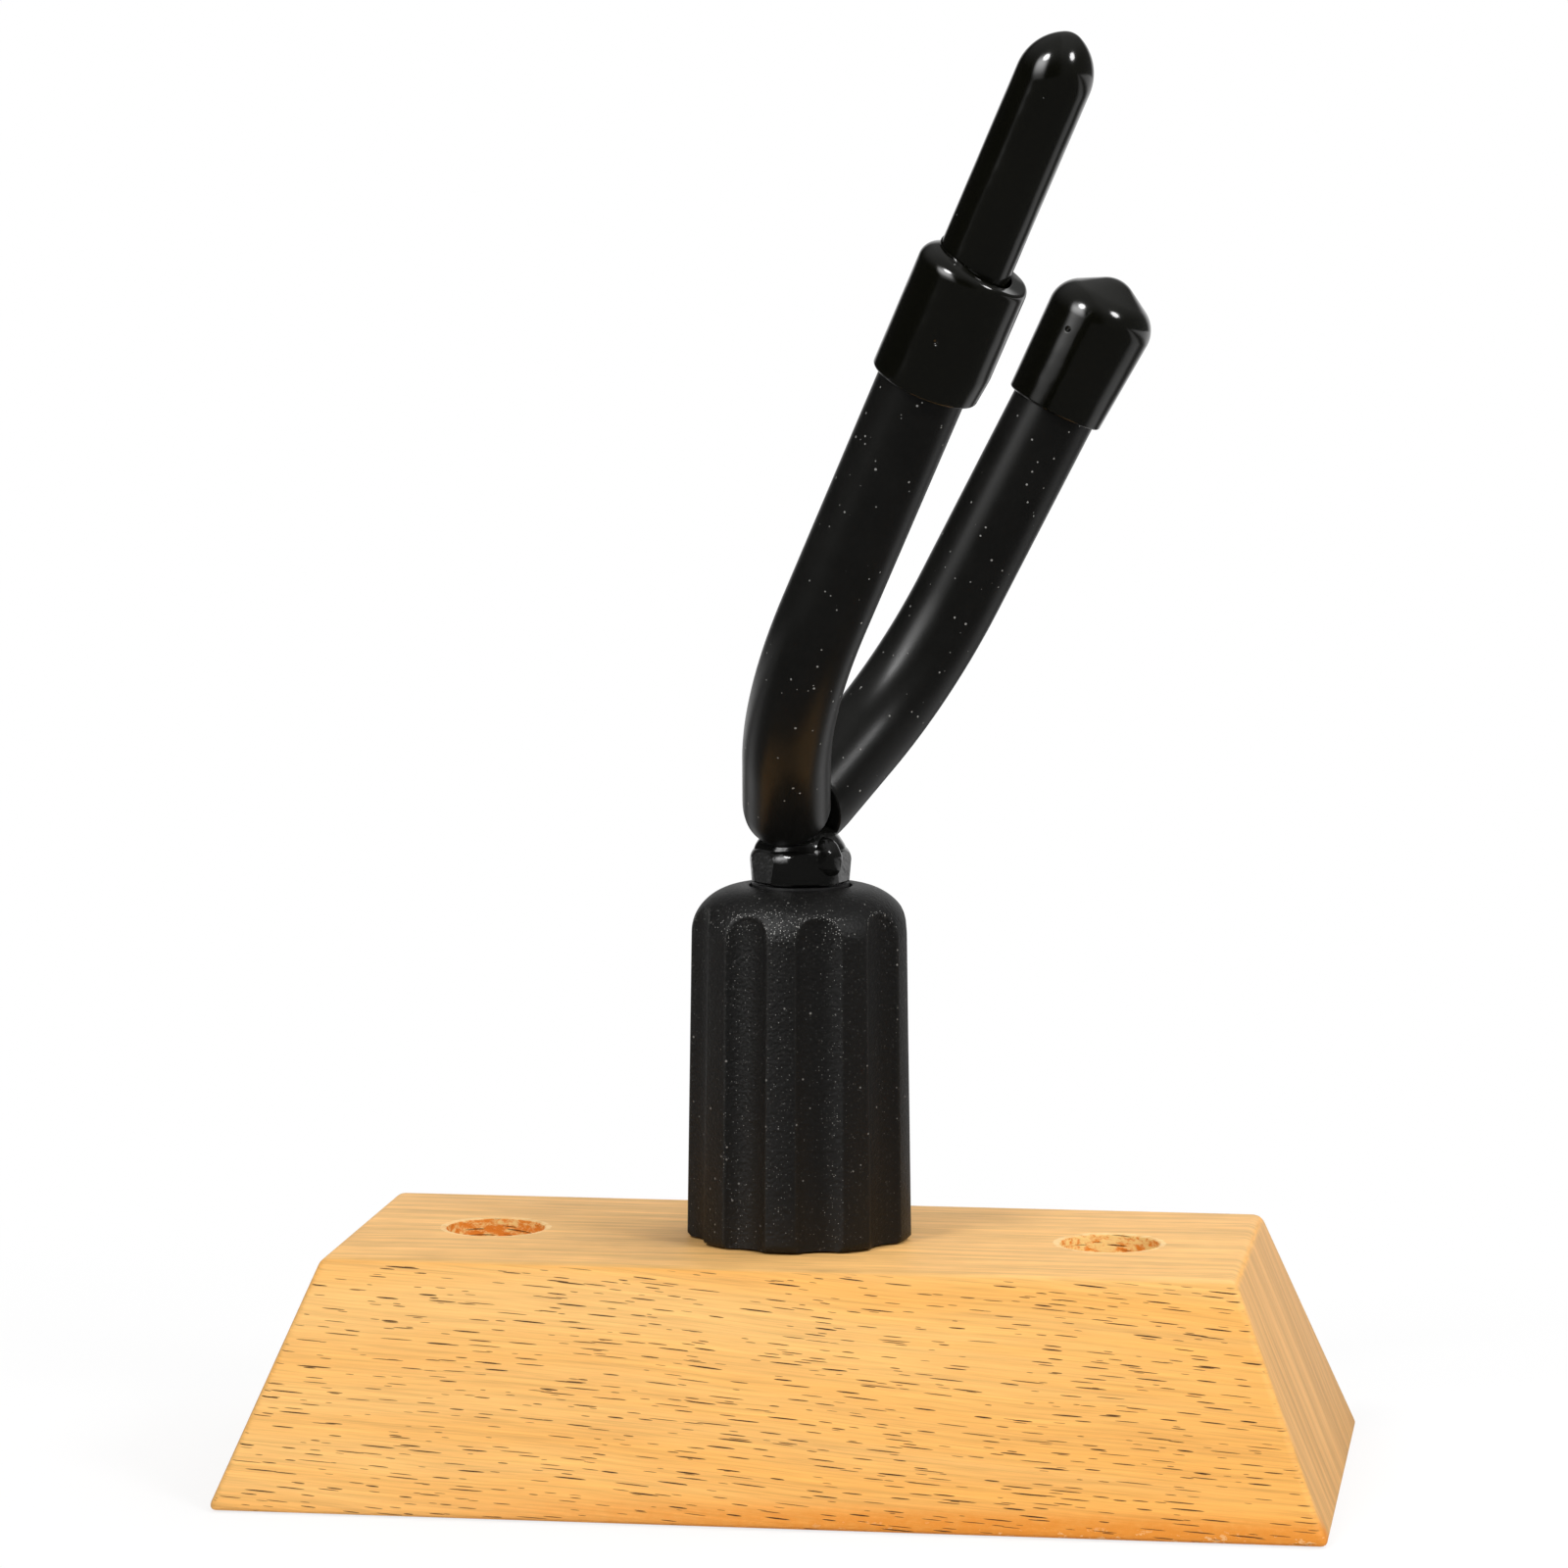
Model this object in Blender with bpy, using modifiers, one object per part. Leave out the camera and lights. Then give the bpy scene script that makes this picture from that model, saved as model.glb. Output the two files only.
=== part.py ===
"""Violin wall hanger: a beech block, a fluted moulded housing, and a swivelling steel yoke in rubber tubing.

The wall face lies at Z = 0 and +Z points out of the wall. +X runs along the block. The yoke swivels about Z.
"""

from math import cos, pi, radians, sin, sqrt, tan

import bmesh
import bpy
from mathutils import Matrix, Vector

MM = 0.001
GAP = 0.3 * MM
FIT_GAP = 0.2 * MM
RUNNING_GAP = 0.1 * MM

# Wall block
BLOCK_LENGTH = 150.8 * MM
BLOCK_WIDTH = 76.8 * MM
BLOCK_THICKNESS = 32.7 * MM
BLOCK_END_SLOPE = 13.3 * MM
BLOCK_SIDE_SLOPE = 12.5 * MM
BLOCK_EDGE_RADIUS = 1.2 * MM
SCREW_SPACING = 85.8 * MM
SCREW_HEAD_RADIUS = 6.8 * MM
SCREW_HEAD_DEPTH = 18 * MM
SCREW_SHANK_RADIUS = 2.7 * MM
MOUTH_CHAMFER = 0.4 * MM
RECESS_RADIUS = 12 * MM
RECESS_DEPTH = 13 * MM
BUSH_HOLE_RADIUS = 6 * MM

# Fluted housing
HOUSING_FOOT_RADIUS = 15.5 * MM
HOUSING_SHOULDER_RADIUS = 14.7 * MM
HOUSING_SHOULDER_Z = 75.1 * MM
HOUSING_TOP_Z = 81.6 * MM
HOUSING_CROWN_RADIUS = 7.4 * MM
HOUSING_GROOVE_DEPTH = 0.9 * MM
HOUSING_WALL = 2.4 * MM
HOUSING_TOP_WALL = 5.5 * MM
BOSS_RADIUS = 7.0 * MM
BOSS_FOOT_RISE = 1.5 * MM
HOUSING_FOOT_CHAMFER = 0.4 * MM
HOUSING_CEILING_FILLET = 2 * MM
RIB_COUNT = 6
RIB_THICKNESS = 1.8 * MM
RIB_FOOT_RISE = 9 * MM
FLUTE_COUNT = 9
FLUTE_FIRST_ANGLE = radians(-71)
FLUTE_WIDTH = 6.6 * MM
FLUTE_DEPTH = 0.95 * MM
FLUTE_CUTTER_RADIUS = 10 * MM
FLUTE_ARCH_Z = 77.4 * MM
PIN_RADIUS = 1.5 * MM
PIN_LENGTH = 12 * MM
PIN_DEPTH_IN_BLOCK = 6 * MM
PIN_CIRCLE_RADIUS = 10.2 * MM
PIN_CHAMFER = 0.3 * MM
PIN_SOCKET_RADIUS = 2.8 * MM
PIN_SOCKET_WALL = 3 * MM

# Bolt through the housing and the block
BOLT_RADIUS = 4 * MM
BOLT_TIP_Z = 1.6 * MM
BOLT_TIP_CHAMFER = 0.8 * MM
HEX_ACROSS_FLATS = 13 * MM
HEX_TOP_RADIUS = 6.2 * MM
HEX_CHAMFER_ANGLE = radians(64)
BOLT_HEAD_HEIGHT = 4.9 * MM
BOLT_HEAD_ANGLE = radians(2)
WASHER_THICKNESS = 0.8 * MM
WASHER_RADIUS = 6.7 * MM
WELD_MOUND_MIDDLE = Vector((0, 0, 86.2)) * MM
WELD_MOUND_SIZE = Vector((6.3, 6.3, 4.2)) * MM
WELD_BEAD_MIDDLE = Vector((4.2, -1.9, 86.1)) * MM
WELD_BEAD_SIZE = Vector((3.0, 3.0, 2.8)) * MM

# Swivel stack in the recess, from its floor towards the wall
SEAT_PLATE_RADIUS = 11.2 * MM
SEAT_PLATE_THICKNESS = 1.5 * MM
WAVE_RADIUS = 7.5 * MM
WAVE_THICKNESS = 0.5 * MM
WAVE_RISE = 0.5 * MM
WAVE_COUNT = 3
NUT_WASHER_RADIUS = 8 * MM
NUT_WASHER_THICKNESS = 1.2 * MM
NUT_HEIGHT = 4.6 * MM
NUT_COLLAR_RADIUS = 5.9 * MM
NUT_COLLAR_HEIGHT = 1.6 * MM
NUT_COLLAR_CHAMFER = 0.5 * MM
LOCK_RING_RADIUS = 5.1 * MM
BUSH_LENGTH = 18.5 * MM

# Yoke: one rod, bent the same way on both sides of its middle
YOKE_TURN = radians(-17.2)
YOKE_TILT = radians(26.9)
ROD_RADIUS = 4 * MM
ROD_MID_X = -0.8 * MM
ROD_MID_Z = 91.85 * MM
CROWN_BEND_RADIUS = 6.7 * MM
LEG_SPLAY = radians(43.4)
LEG_RUN = 10.2 * MM
ARM_BEND_RADIUS = 38.7 * MM
ARM_SPLAY = radians(5.3)
NEAR_ROD_LENGTH = 122.7 * MM
FAR_ROD_LENGTH = 86.4 * MM
ROD_END_CHAMFER = 0.8 * MM

# Rubber tubing, vinyl caps and the bow peg's sleeve, by their distance along the rod from its middle
TUBE_RADIUS = 5.95 * MM
TUBE_START = 3.7 * MM
NEAR_TUBE_END = 90.4 * MM
FAR_TUBE_END = 84.4 * MM
CAP_MOUTH_RADIUS = 6.9 * MM
CAP_SHOULDER_RADIUS = 7.4 * MM
CAP_LENGTH = 19.8 * MM
CAP_CROWN_SLOPE = radians(30)
CAP_SHOULDER_ROUNDING = 4.5 * MM
CAP_TIP_ROUNDING = 4.2 * MM
CAP_TIP_WALL = 2.9 * MM
CAP_CAVITY_ROUNDING = 2.8 * MM
CAP_LIP_RADIUS = 0.35 * MM
FAR_CAP_START = 70.4 * MM
COLLAR_RADIUS = 7.15 * MM
COLLAR_START = 76.5 * MM
COLLAR_LENGTH = 18.0 * MM
COLLAR_SHOULDER_ROUNDING = 2.8 * MM
COLLAR_HOLE_RADIUS = 5.5 * MM
COLLAR_HOLE_SHIFT = 0.35 * MM
COLLAR_CAVITY_LENGTH = 14.5 * MM
COLLAR_CUT_DROP = 1.5 * MM
COLLAR_CUT_DIRECTION = radians(15)
SLEEVE_RADIUS = 4.98 * MM
SLEEVE_START = 91.6 * MM
SLEEVE_END = 127.1 * MM
SLEEVE_CROWN_SLOPE = radians(28)
SLEEVE_SHOULDER_ROUNDING = 7.0 * MM
SLEEVE_TIP_ROUNDING = 2.6 * MM
SLEEVE_TIP_WALL = 3.6 * MM
SLEEVE_CAVITY_CHAMFER = 0.8 * MM

ROUND_STEPS = 32
SMALL_ROUND_STEPS = 20
POST_ROUND_STEPS = 24
HOUSING_STEPS = 64
TUBE_BEVEL_RESOLUTION = 8
ROD_BEVEL_RESOLUTION = 6
BEND_STEP = radians(6.5)
SEAT_REACH = 20 * MM
NEAR, FAR = -1, 1


def clear_scene():
    for obj in list(bpy.data.objects):
        bpy.data.objects.remove(obj, do_unlink=True)


def new_collection(name, hidden=False):
    collection = bpy.data.collections.new(name)
    collection.hide_render = hidden
    bpy.context.scene.collection.children.link(collection)
    return collection


def new_material(name, color, roughness, metallic=0.0):
    material = bpy.data.materials.new(name)
    material.use_nodes = True
    shader = material.node_tree.nodes["Principled BSDF"]
    shader.inputs["Base Color"].default_value = (*color, 1.0)
    shader.inputs["Roughness"].default_value = roughness
    shader.inputs["Metallic"].default_value = metallic
    material.diffuse_color = (*color, 1.0)
    return material


def new_object(name, mesh, collection, parent=None, material=None, smooth_below=radians(35)):
    obj = bpy.data.objects.new(name, mesh)
    collection.objects.link(obj)
    obj.parent = parent
    if material:
        mesh.materials.append(material)
    if obj.type == "MESH":
        mesh.shade_smooth()
        mesh.set_sharp_from_angle(angle=smooth_below)
    return obj


def cutter_object(name, mesh, parent=None):
    cutter = new_object(name, mesh, CUTTERS, parent)
    cutter.hide_render = True
    cutter.display_type = "WIRE"
    return cutter


def add_boolean(obj, other, operation="DIFFERENCE"):
    modifier = obj.modifiers.new(f"{operation.lower()} {other.name}", "BOOLEAN")
    modifier.operation = operation
    modifier.solver = "EXACT"
    modifier.object = other
    return modifier


def turned_object(name, profile, collection, parent=None, material=None, steps=ROUND_STEPS):
    """A solid of revolution about Z. The profile is (radius, z) down its outer side, top to bottom."""
    mesh = bpy.data.meshes.new(name)
    shape = bmesh.new()
    corners = [shape.verts.new((radius, 0, z)) for radius, z in profile]
    for first, second in zip(corners, corners[1:]):
        shape.edges.new((first, second))
    if profile[0][0] > 0:
        shape.edges.new((corners[-1], corners[0]))
    shape.to_mesh(mesh)
    shape.free()
    obj = new_object(name, mesh, collection, parent, material)
    screw = obj.modifiers.new("turn", "SCREW")
    screw.axis = "Z"
    screw.steps = steps
    screw.render_steps = steps
    screw.use_merge_vertices = True
    screw.merge_threshold = 0.00001
    screw.use_smooth_shade = True
    if collection is CUTTERS:
        obj.hide_render = True
        obj.display_type = "WIRE"
    return obj


def arc_points(center_r, center_z, half_r, half_z, start, end, count):
    """Points (radius, z) on an ellipse from one angle to another, 0 pointing outwards and pi / 2 up."""
    angles = [start + (end - start) * k / count for k in range(count + 1)]
    return [(center_r + half_r * cos(a), center_z + half_z * sin(a)) for a in angles]


def ring_profile(inner, outer, low, high):
    return [(outer, high), (outer, low), (inner, low), (inner, high)]


def block_mesh():
    """A box whose front face is drawn in to a truncated pyramid."""
    shape = bmesh.new()
    bmesh.ops.create_cube(shape, size=1)
    for corner in shape.verts:
        front = corner.co.z > 0
        half_x = BLOCK_LENGTH / 2 - (BLOCK_END_SLOPE if front else 0)
        half_y = BLOCK_WIDTH / 2 - (BLOCK_SIDE_SLOPE if front else 0)
        corner.co.x = half_x if corner.co.x > 0 else -half_x
        corner.co.y = half_y if corner.co.y > 0 else -half_y
        corner.co.z = BLOCK_THICKNESS if front else 0
    mesh = bpy.data.meshes.new("base_block")
    shape.to_mesh(mesh)
    shape.free()
    return mesh


def screw_hole_profile():
    """A counterbore for the screw's head over a hole for its shank, down from above the block."""
    over, under = BLOCK_THICKNESS + 2 * MM, -2 * MM
    mouth = SCREW_HEAD_RADIUS + MOUTH_CHAMFER + 2 * MM
    floor = BLOCK_THICKNESS - SCREW_HEAD_DEPTH
    return [
        (0, over),
        (mouth, over),
        (SCREW_HEAD_RADIUS, BLOCK_THICKNESS - MOUTH_CHAMFER),
        (SCREW_HEAD_RADIUS, floor),
        (SCREW_SHANK_RADIUS, floor),
        (SCREW_SHANK_RADIUS, under),
        (0, under),
    ]


def bolt_hole_profile():
    """The bush's hole through the block, and the recess in its back."""
    over, under = BLOCK_THICKNESS + 2 * MM, -2 * MM
    return [
        (0, over),
        (BUSH_HOLE_RADIUS, over),
        (BUSH_HOLE_RADIUS, RECESS_DEPTH),
        (RECESS_RADIUS, RECESS_DEPTH),
        (RECESS_RADIUS, under),
        (0, under),
    ]


def pin_places():
    """The two locating pins, on ribs that lie square to the block's length."""
    return {"left": Vector((-PIN_CIRCLE_RADIUS, 0, 0)), "right": Vector((PIN_CIRCLE_RADIUS, 0, 0))}


def build_block():
    block = new_object("base_block", block_mesh(), PARTS, None, BEECH)
    edges = block.modifiers.new("rounded edges", "BEVEL")
    edges.width = BLOCK_EDGE_RADIUS
    edges.segments = 3
    edges.limit_method = "ANGLE"
    for side, place in (("left", -SCREW_SPACING / 2), ("right", SCREW_SPACING / 2)):
        hole = turned_object(f"screw_hole_{side}_cutter", screw_hole_profile(), CUTTERS)
        hole.location.x = place
        add_boolean(block, hole)
    add_boolean(block, turned_object("bolt_hole_cutter", bolt_hole_profile(), CUTTERS))
    for side, place in pin_places().items():
        floor = BLOCK_THICKNESS - PIN_DEPTH_IN_BLOCK - GAP
        profile = [(0, BLOCK_THICKNESS + 1 * MM), (PIN_RADIUS + FIT_GAP, BLOCK_THICKNESS + 1 * MM)]
        profile += [(PIN_RADIUS + FIT_GAP, floor), (0, floor)]
        hole = turned_object(f"pin_hole_{side}_cutter", profile, CUTTERS, steps=SMALL_ROUND_STEPS)
        hole.location = place
        add_boolean(block, hole)
    return block


def housing_profile():
    """The housing's section: outer wall and shoulder, open foot, hollow, and the boss round the bolt."""
    foot = BLOCK_THICKNESS + GAP
    bore = BOLT_RADIUS + RUNNING_GAP
    half_r = HOUSING_SHOULDER_RADIUS - HOUSING_CROWN_RADIUS
    half_z = HOUSING_TOP_Z - HOUSING_SHOULDER_Z
    groove = HOUSING_TOP_Z - HOUSING_GROOVE_DEPTH
    ceiling = HOUSING_TOP_Z - HOUSING_TOP_WALL
    inner_foot = HOUSING_FOOT_RADIUS - HOUSING_WALL
    inner_top = HOUSING_SHOULDER_RADIUS - HOUSING_WALL
    boss_foot = foot + BOSS_FOOT_RISE
    fillet = HOUSING_CEILING_FILLET
    chamfer = HOUSING_FOOT_CHAMFER
    outside = arc_points(HOUSING_CROWN_RADIUS, HOUSING_SHOULDER_Z, half_r, half_z, pi / 2, 0, 9)
    ceiling_fillet = arc_points(inner_top - fillet, ceiling - fillet, fillet, fillet, 0, pi / 2, 3)
    return (
        [(HOUSING_CROWN_RADIUS, groove)]
        + outside
        + [(HOUSING_FOOT_RADIUS, foot + chamfer), (HOUSING_FOOT_RADIUS - chamfer, foot)]
        + [(inner_foot, foot)]
        + ceiling_fillet
        + [(BOSS_RADIUS, ceiling), (BOSS_RADIUS, boss_foot), (bore, boss_foot), (bore, groove)]
    )


def flute_profile():
    """A round-topped pillar, whose side cuts one flute and whose dome cuts the flute's arch."""
    rise = FLUTE_WIDTH / 2
    dome_mid = FLUTE_ARCH_Z - rise
    foot = BLOCK_THICKNESS - 2 * MM
    radius = FLUTE_CUTTER_RADIUS
    return arc_points(0, dome_mid, radius, radius, pi / 2, 0, 12) + [(radius, foot), (0, foot)]


def build_ribs(housing):
    """Ribs that tie the boss to the wall, each reaching a little into both."""
    ceiling = HOUSING_TOP_Z - HOUSING_TOP_WALL
    foot = BLOCK_THICKNESS + GAP + RIB_FOOT_RISE
    inner, outer = BOSS_RADIUS - 1 * MM, HOUSING_SHOULDER_RADIUS - HOUSING_WALL + 0.9 * MM
    for number in range(RIB_COUNT):
        shape = bmesh.new()
        bmesh.ops.create_cube(shape, size=1)
        size = Vector((outer - inner, RIB_THICKNESS, ceiling + 1 * MM - foot))
        bmesh.ops.scale(shape, vec=size, verts=shape.verts)
        middle = Vector(((inner + outer) / 2, 0, (ceiling + 1 * MM + foot) / 2))
        bmesh.ops.translate(shape, vec=middle, verts=shape.verts)
        turn = Matrix.Rotation(2 * pi * (number + 0.5) / RIB_COUNT, 3, "Z")
        bmesh.ops.rotate(shape, cent=(0, 0, 0), matrix=turn, verts=shape.verts)
        mesh = bpy.data.meshes.new(f"rib_{number}")
        shape.to_mesh(mesh)
        shape.free()
        add_boolean(housing, cutter_object(f"rib_{number}_former", mesh), "UNION")


def build_pin_sockets(housing):
    """Two short posts on the wall's inside that hold the locating pins."""
    foot = BLOCK_THICKNESS + GAP
    depth = foot + PIN_LENGTH - PIN_DEPTH_IN_BLOCK + GAP
    top = depth - GAP + PIN_SOCKET_WALL
    radius = PIN_RADIUS + FIT_GAP
    post_profile = [(0, top), (PIN_SOCKET_RADIUS, top), (PIN_SOCKET_RADIUS, foot), (0, foot)]
    hole_profile = [(0, depth), (radius, depth), (radius, foot - 1 * MM), (0, foot - 1 * MM)]
    for side, place in pin_places().items():
        post = turned_object(f"pin_post_{side}_former", post_profile, CUTTERS, steps=POST_ROUND_STEPS)
        post.location = place
        add_boolean(housing, post, "UNION")
        hole = turned_object(f"pin_socket_{side}_cutter", hole_profile, CUTTERS, steps=SMALL_ROUND_STEPS)
        hole.location = place
        add_boolean(housing, hole)


def build_housing():
    housing = turned_object("fluted_housing", housing_profile(), PARTS, None, MOULDED_BLACK, HOUSING_STEPS)
    build_ribs(housing)
    build_pin_sockets(housing)
    draft = (HOUSING_FOOT_RADIUS - HOUSING_SHOULDER_RADIUS) / (HOUSING_SHOULDER_Z - BLOCK_THICKNESS)
    reach = HOUSING_SHOULDER_RADIUS - FLUTE_DEPTH + FLUTE_CUTTER_RADIUS
    for number in range(FLUTE_COUNT):
        angle = FLUTE_FIRST_ANGLE + 2 * pi * number / FLUTE_COUNT
        cutter = turned_object(f"flute_{number}_cutter", flute_profile(), CUTTERS, steps=HOUSING_STEPS)
        lean = Matrix.Rotation(draft, 4, Vector((-sin(angle), cos(angle), 0)))
        pivot = Matrix.Translation(Vector((reach * cos(angle), reach * sin(angle), HOUSING_SHOULDER_Z)))
        cutter.matrix_world = pivot @ lean.inverted() @ Matrix.Translation((0, 0, -HOUSING_SHOULDER_Z))
        add_boolean(housing, cutter)
    return housing


def build_pins():
    low = BLOCK_THICKNESS - PIN_DEPTH_IN_BLOCK
    chamfer = PIN_CHAMFER
    profile = [(0, low + PIN_LENGTH), (PIN_RADIUS - chamfer, low + PIN_LENGTH)]
    profile += [(PIN_RADIUS, low + PIN_LENGTH - chamfer), (PIN_RADIUS, low + chamfer)]
    profile += [(PIN_RADIUS - chamfer, low), (0, low)]
    for side, place in pin_places().items():
        pin = turned_object(f"locating_pin_{side}", profile, PARTS, None, BRIGHT_STEEL, SMALL_ROUND_STEPS)
        pin.location = place


def washer_seat_z():
    """The underside of the top washer, just over the groove's floor."""
    return HOUSING_TOP_Z - HOUSING_GROOVE_DEPTH + GAP


def bolt_head_z():
    return washer_seat_z() + WASHER_THICKNESS + GAP


def build_top_washer():
    low = washer_seat_z()
    profile = ring_profile(BOLT_RADIUS + FIT_GAP, WASHER_RADIUS, low, low + WASHER_THICKNESS)
    turned_object("top_washer", profile, PARTS, None, NYLON_BLACK)


def hexagon_prism(name, low, high, angle):
    shape = bmesh.new()
    radius = HEX_ACROSS_FLATS / sqrt(3)
    place = Matrix.Translation((0, 0, (low + high) / 2)) @ Matrix.Rotation(angle, 4, "Z")
    bmesh.ops.create_cone(
        shape, cap_ends=True, segments=6, radius1=radius, radius2=radius, depth=high - low, matrix=place
    )
    mesh = bpy.data.meshes.new(name)
    shape.to_mesh(mesh)
    shape.free()
    return mesh


def hexagon_chamfer(name, obj, top, low):
    """Trims a hexagon's upper corners with a cone, as on any bolt's head."""
    flat = HEX_ACROSS_FLATS / 2
    reach = 3 * MM
    foot = top - (flat + reach - HEX_TOP_RADIUS) * tan(HEX_CHAMFER_ANGLE)
    profile = [(0, top), (HEX_TOP_RADIUS, top), (flat + reach, foot)]
    profile += [(flat + reach, low - 2 * MM), (0, low - 2 * MM)]
    add_boolean(obj, turned_object(name, profile, CUTTERS), "INTERSECT")


def rod_clearance(parent):
    """The rod's own path, a little fatter, to cut the seat that it lies in."""
    path = bent_path(NEAR, 0, SEAT_REACH)[::-1] + bent_path(FAR, 0, SEAT_REACH)[1:]
    return tube_mesh_object("rod_seat_cutter", path, ROD_RADIUS + GAP, CUTTERS, parent, capped=True)


def tube_clearance(name, side, parent):
    """The end of one arm's tubing, a little fatter, to keep the weld clear of it."""
    path = bent_path(side, TUBE_START - GAP, SEAT_REACH)
    radius = TUBE_RADIUS + GAP
    return tube_mesh_object(name, path, radius, CUTTERS, parent, True, TUBE_BEVEL_RESOLUTION)


def build_bolt(pivot, plane):
    low, high = bolt_head_z(), bolt_head_z() + BOLT_HEAD_HEIGHT
    head = hexagon_prism("yoke_bolt", low, high, BOLT_HEAD_ANGLE)
    bolt = new_object("yoke_bolt", head, PARTS, pivot, BLACK_PAINT)
    hexagon_chamfer("bolt_head_chamfer", bolt, high, low)
    tip = BOLT_TIP_Z
    shank_profile = [(0, low + 1 * MM), (BOLT_RADIUS, low + 1 * MM), (BOLT_RADIUS, tip + BOLT_TIP_CHAMFER)]
    shank_profile += [(BOLT_RADIUS - BOLT_TIP_CHAMFER, tip), (0, tip)]
    add_boolean(bolt, turned_object("bolt_shank_former", shank_profile, CUTTERS, pivot), "UNION")
    add_boolean(bolt, weld_former("weld_mound_former", WELD_MOUND_MIDDLE, WELD_MOUND_SIZE, pivot), "UNION")
    add_boolean(bolt, weld_former("weld_bead_former", WELD_BEAD_MIDDLE, WELD_BEAD_SIZE, pivot), "UNION")
    add_boolean(bolt, rod_clearance(plane))
    add_boolean(bolt, tube_clearance("near_tube_seat_cutter", NEAR, plane))
    add_boolean(bolt, tube_clearance("far_tube_seat_cutter", FAR, plane))


def weld_former(name, middle, size, pivot):
    """A flattened ball of weld on the bolt's head, round the rod."""
    shape = bmesh.new()
    bmesh.ops.create_uvsphere(shape, u_segments=24, v_segments=12, radius=1)
    bmesh.ops.scale(shape, vec=size, verts=shape.verts)
    bmesh.ops.translate(shape, vec=middle, verts=shape.verts)
    mesh = bpy.data.meshes.new(name)
    shape.to_mesh(mesh)
    shape.free()
    return cutter_object(name, mesh, pivot)


def build_bush():
    """A plain bush in the block's hole, from the recess's floor up to just under the front face."""
    low = RECESS_DEPTH + GAP
    profile = ring_profile(BOLT_RADIUS + RUNNING_GAP, BUSH_HOLE_RADIUS - FIT_GAP, low, low + BUSH_LENGTH)
    turned_object("block_bush", profile, PARTS, None, NYLON_WHITE)


def wave_washer_mesh(low):
    """A flat ring, bent into waves round its axis."""
    shape = bmesh.new()
    inner, outer = BOLT_RADIUS + GAP, WAVE_RADIUS
    corners = [(outer, WAVE_THICKNESS), (outer, 0), (inner, 0), (inner, WAVE_THICKNESS)]
    loop = [shape.verts.new((radius, 0, height)) for radius, height in corners]
    edges = [shape.edges.new((loop[k], loop[(k + 1) % 4])) for k in range(4)]
    bmesh.ops.spin(
        shape, geom=loop + edges, cent=(0, 0, 0), axis=(0, 0, 1), angle=2 * pi, steps=48, use_merge=True
    )
    for vert in shape.verts:
        angle = vert.co.to_2d().angle_signed(Vector((1, 0)), 0)
        vert.co.z += low + WAVE_RISE / 2 * (1 + cos(WAVE_COUNT * angle))
    bmesh.ops.recalc_face_normals(shape, faces=shape.faces)
    mesh = bpy.data.meshes.new("wave_washer")
    shape.to_mesh(mesh)
    shape.free()
    return mesh


def build_swivel_stack(pivot):
    """Plate, wave washer, washer and lock nut, from the recess's floor towards the wall."""
    plate_low = RECESS_DEPTH - GAP - SEAT_PLATE_THICKNESS
    profile = ring_profile(BOLT_RADIUS + GAP, SEAT_PLATE_RADIUS, plate_low, plate_low + SEAT_PLATE_THICKNESS)
    turned_object("seat_plate", profile, PARTS, None, BRIGHT_STEEL)
    wave_low = plate_low - GAP - WAVE_THICKNESS - WAVE_RISE
    new_object("wave_washer", wave_washer_mesh(wave_low), PARTS, None, SPRING_STEEL)
    washer_low = wave_low - GAP - NUT_WASHER_THICKNESS
    washer_top = washer_low + NUT_WASHER_THICKNESS
    profile = ring_profile(BOLT_RADIUS + FIT_GAP, NUT_WASHER_RADIUS, washer_low, washer_top)
    turned_object("nut_washer", profile, PARTS, pivot, BRIGHT_STEEL)
    build_nut(pivot, washer_low - GAP)


def build_nut(pivot, top):
    """A lock nut: a hexagon with a round collar, whose nylon ring grips the thread."""
    low = top - NUT_HEIGHT
    collar_low = low - NUT_COLLAR_HEIGHT
    nut = new_object("lock_nut", hexagon_prism("lock_nut", low, top, 0), PARTS, pivot, BRIGHT_STEEL)
    hexagon_chamfer("nut_chamfer", nut, top, collar_low)
    collar_profile = [(0, low + 1 * MM), (NUT_COLLAR_RADIUS, low + 1 * MM)]
    collar_profile += [(NUT_COLLAR_RADIUS, collar_low + NUT_COLLAR_CHAMFER)]
    collar_profile += [(NUT_COLLAR_RADIUS - NUT_COLLAR_CHAMFER, collar_low), (0, collar_low)]
    add_boolean(nut, turned_object("nut_collar_former", collar_profile, CUTTERS, pivot), "UNION")
    bore = BOLT_RADIUS + RUNNING_GAP
    groove = LOCK_RING_RADIUS + FIT_GAP
    hole = [(0, top + 1 * MM), (bore, top + 1 * MM), (bore, low + GAP), (groove, low + GAP)]
    hole += [(groove, collar_low - 1 * MM), (0, collar_low - 1 * MM)]
    add_boolean(nut, turned_object("nut_bore_cutter", hole, CUTTERS, pivot))
    profile = ring_profile(bore, LOCK_RING_RADIUS, collar_low, low)
    turned_object("lock_ring", profile, PARTS, pivot, NYLON_WHITE)


def arm_point_steps():
    """One arm's bends and straight runs from the rod's middle outwards, with the splay at each one's ends."""
    return (
        ("bend", CROWN_BEND_RADIUS, pi / 2, LEG_SPLAY),
        ("run", LEG_RUN, LEG_SPLAY, LEG_SPLAY),
        ("bend", ARM_BEND_RADIUS, LEG_SPLAY, ARM_SPLAY),
        ("run", 1.0, ARM_SPLAY, ARM_SPLAY),
    )


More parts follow.
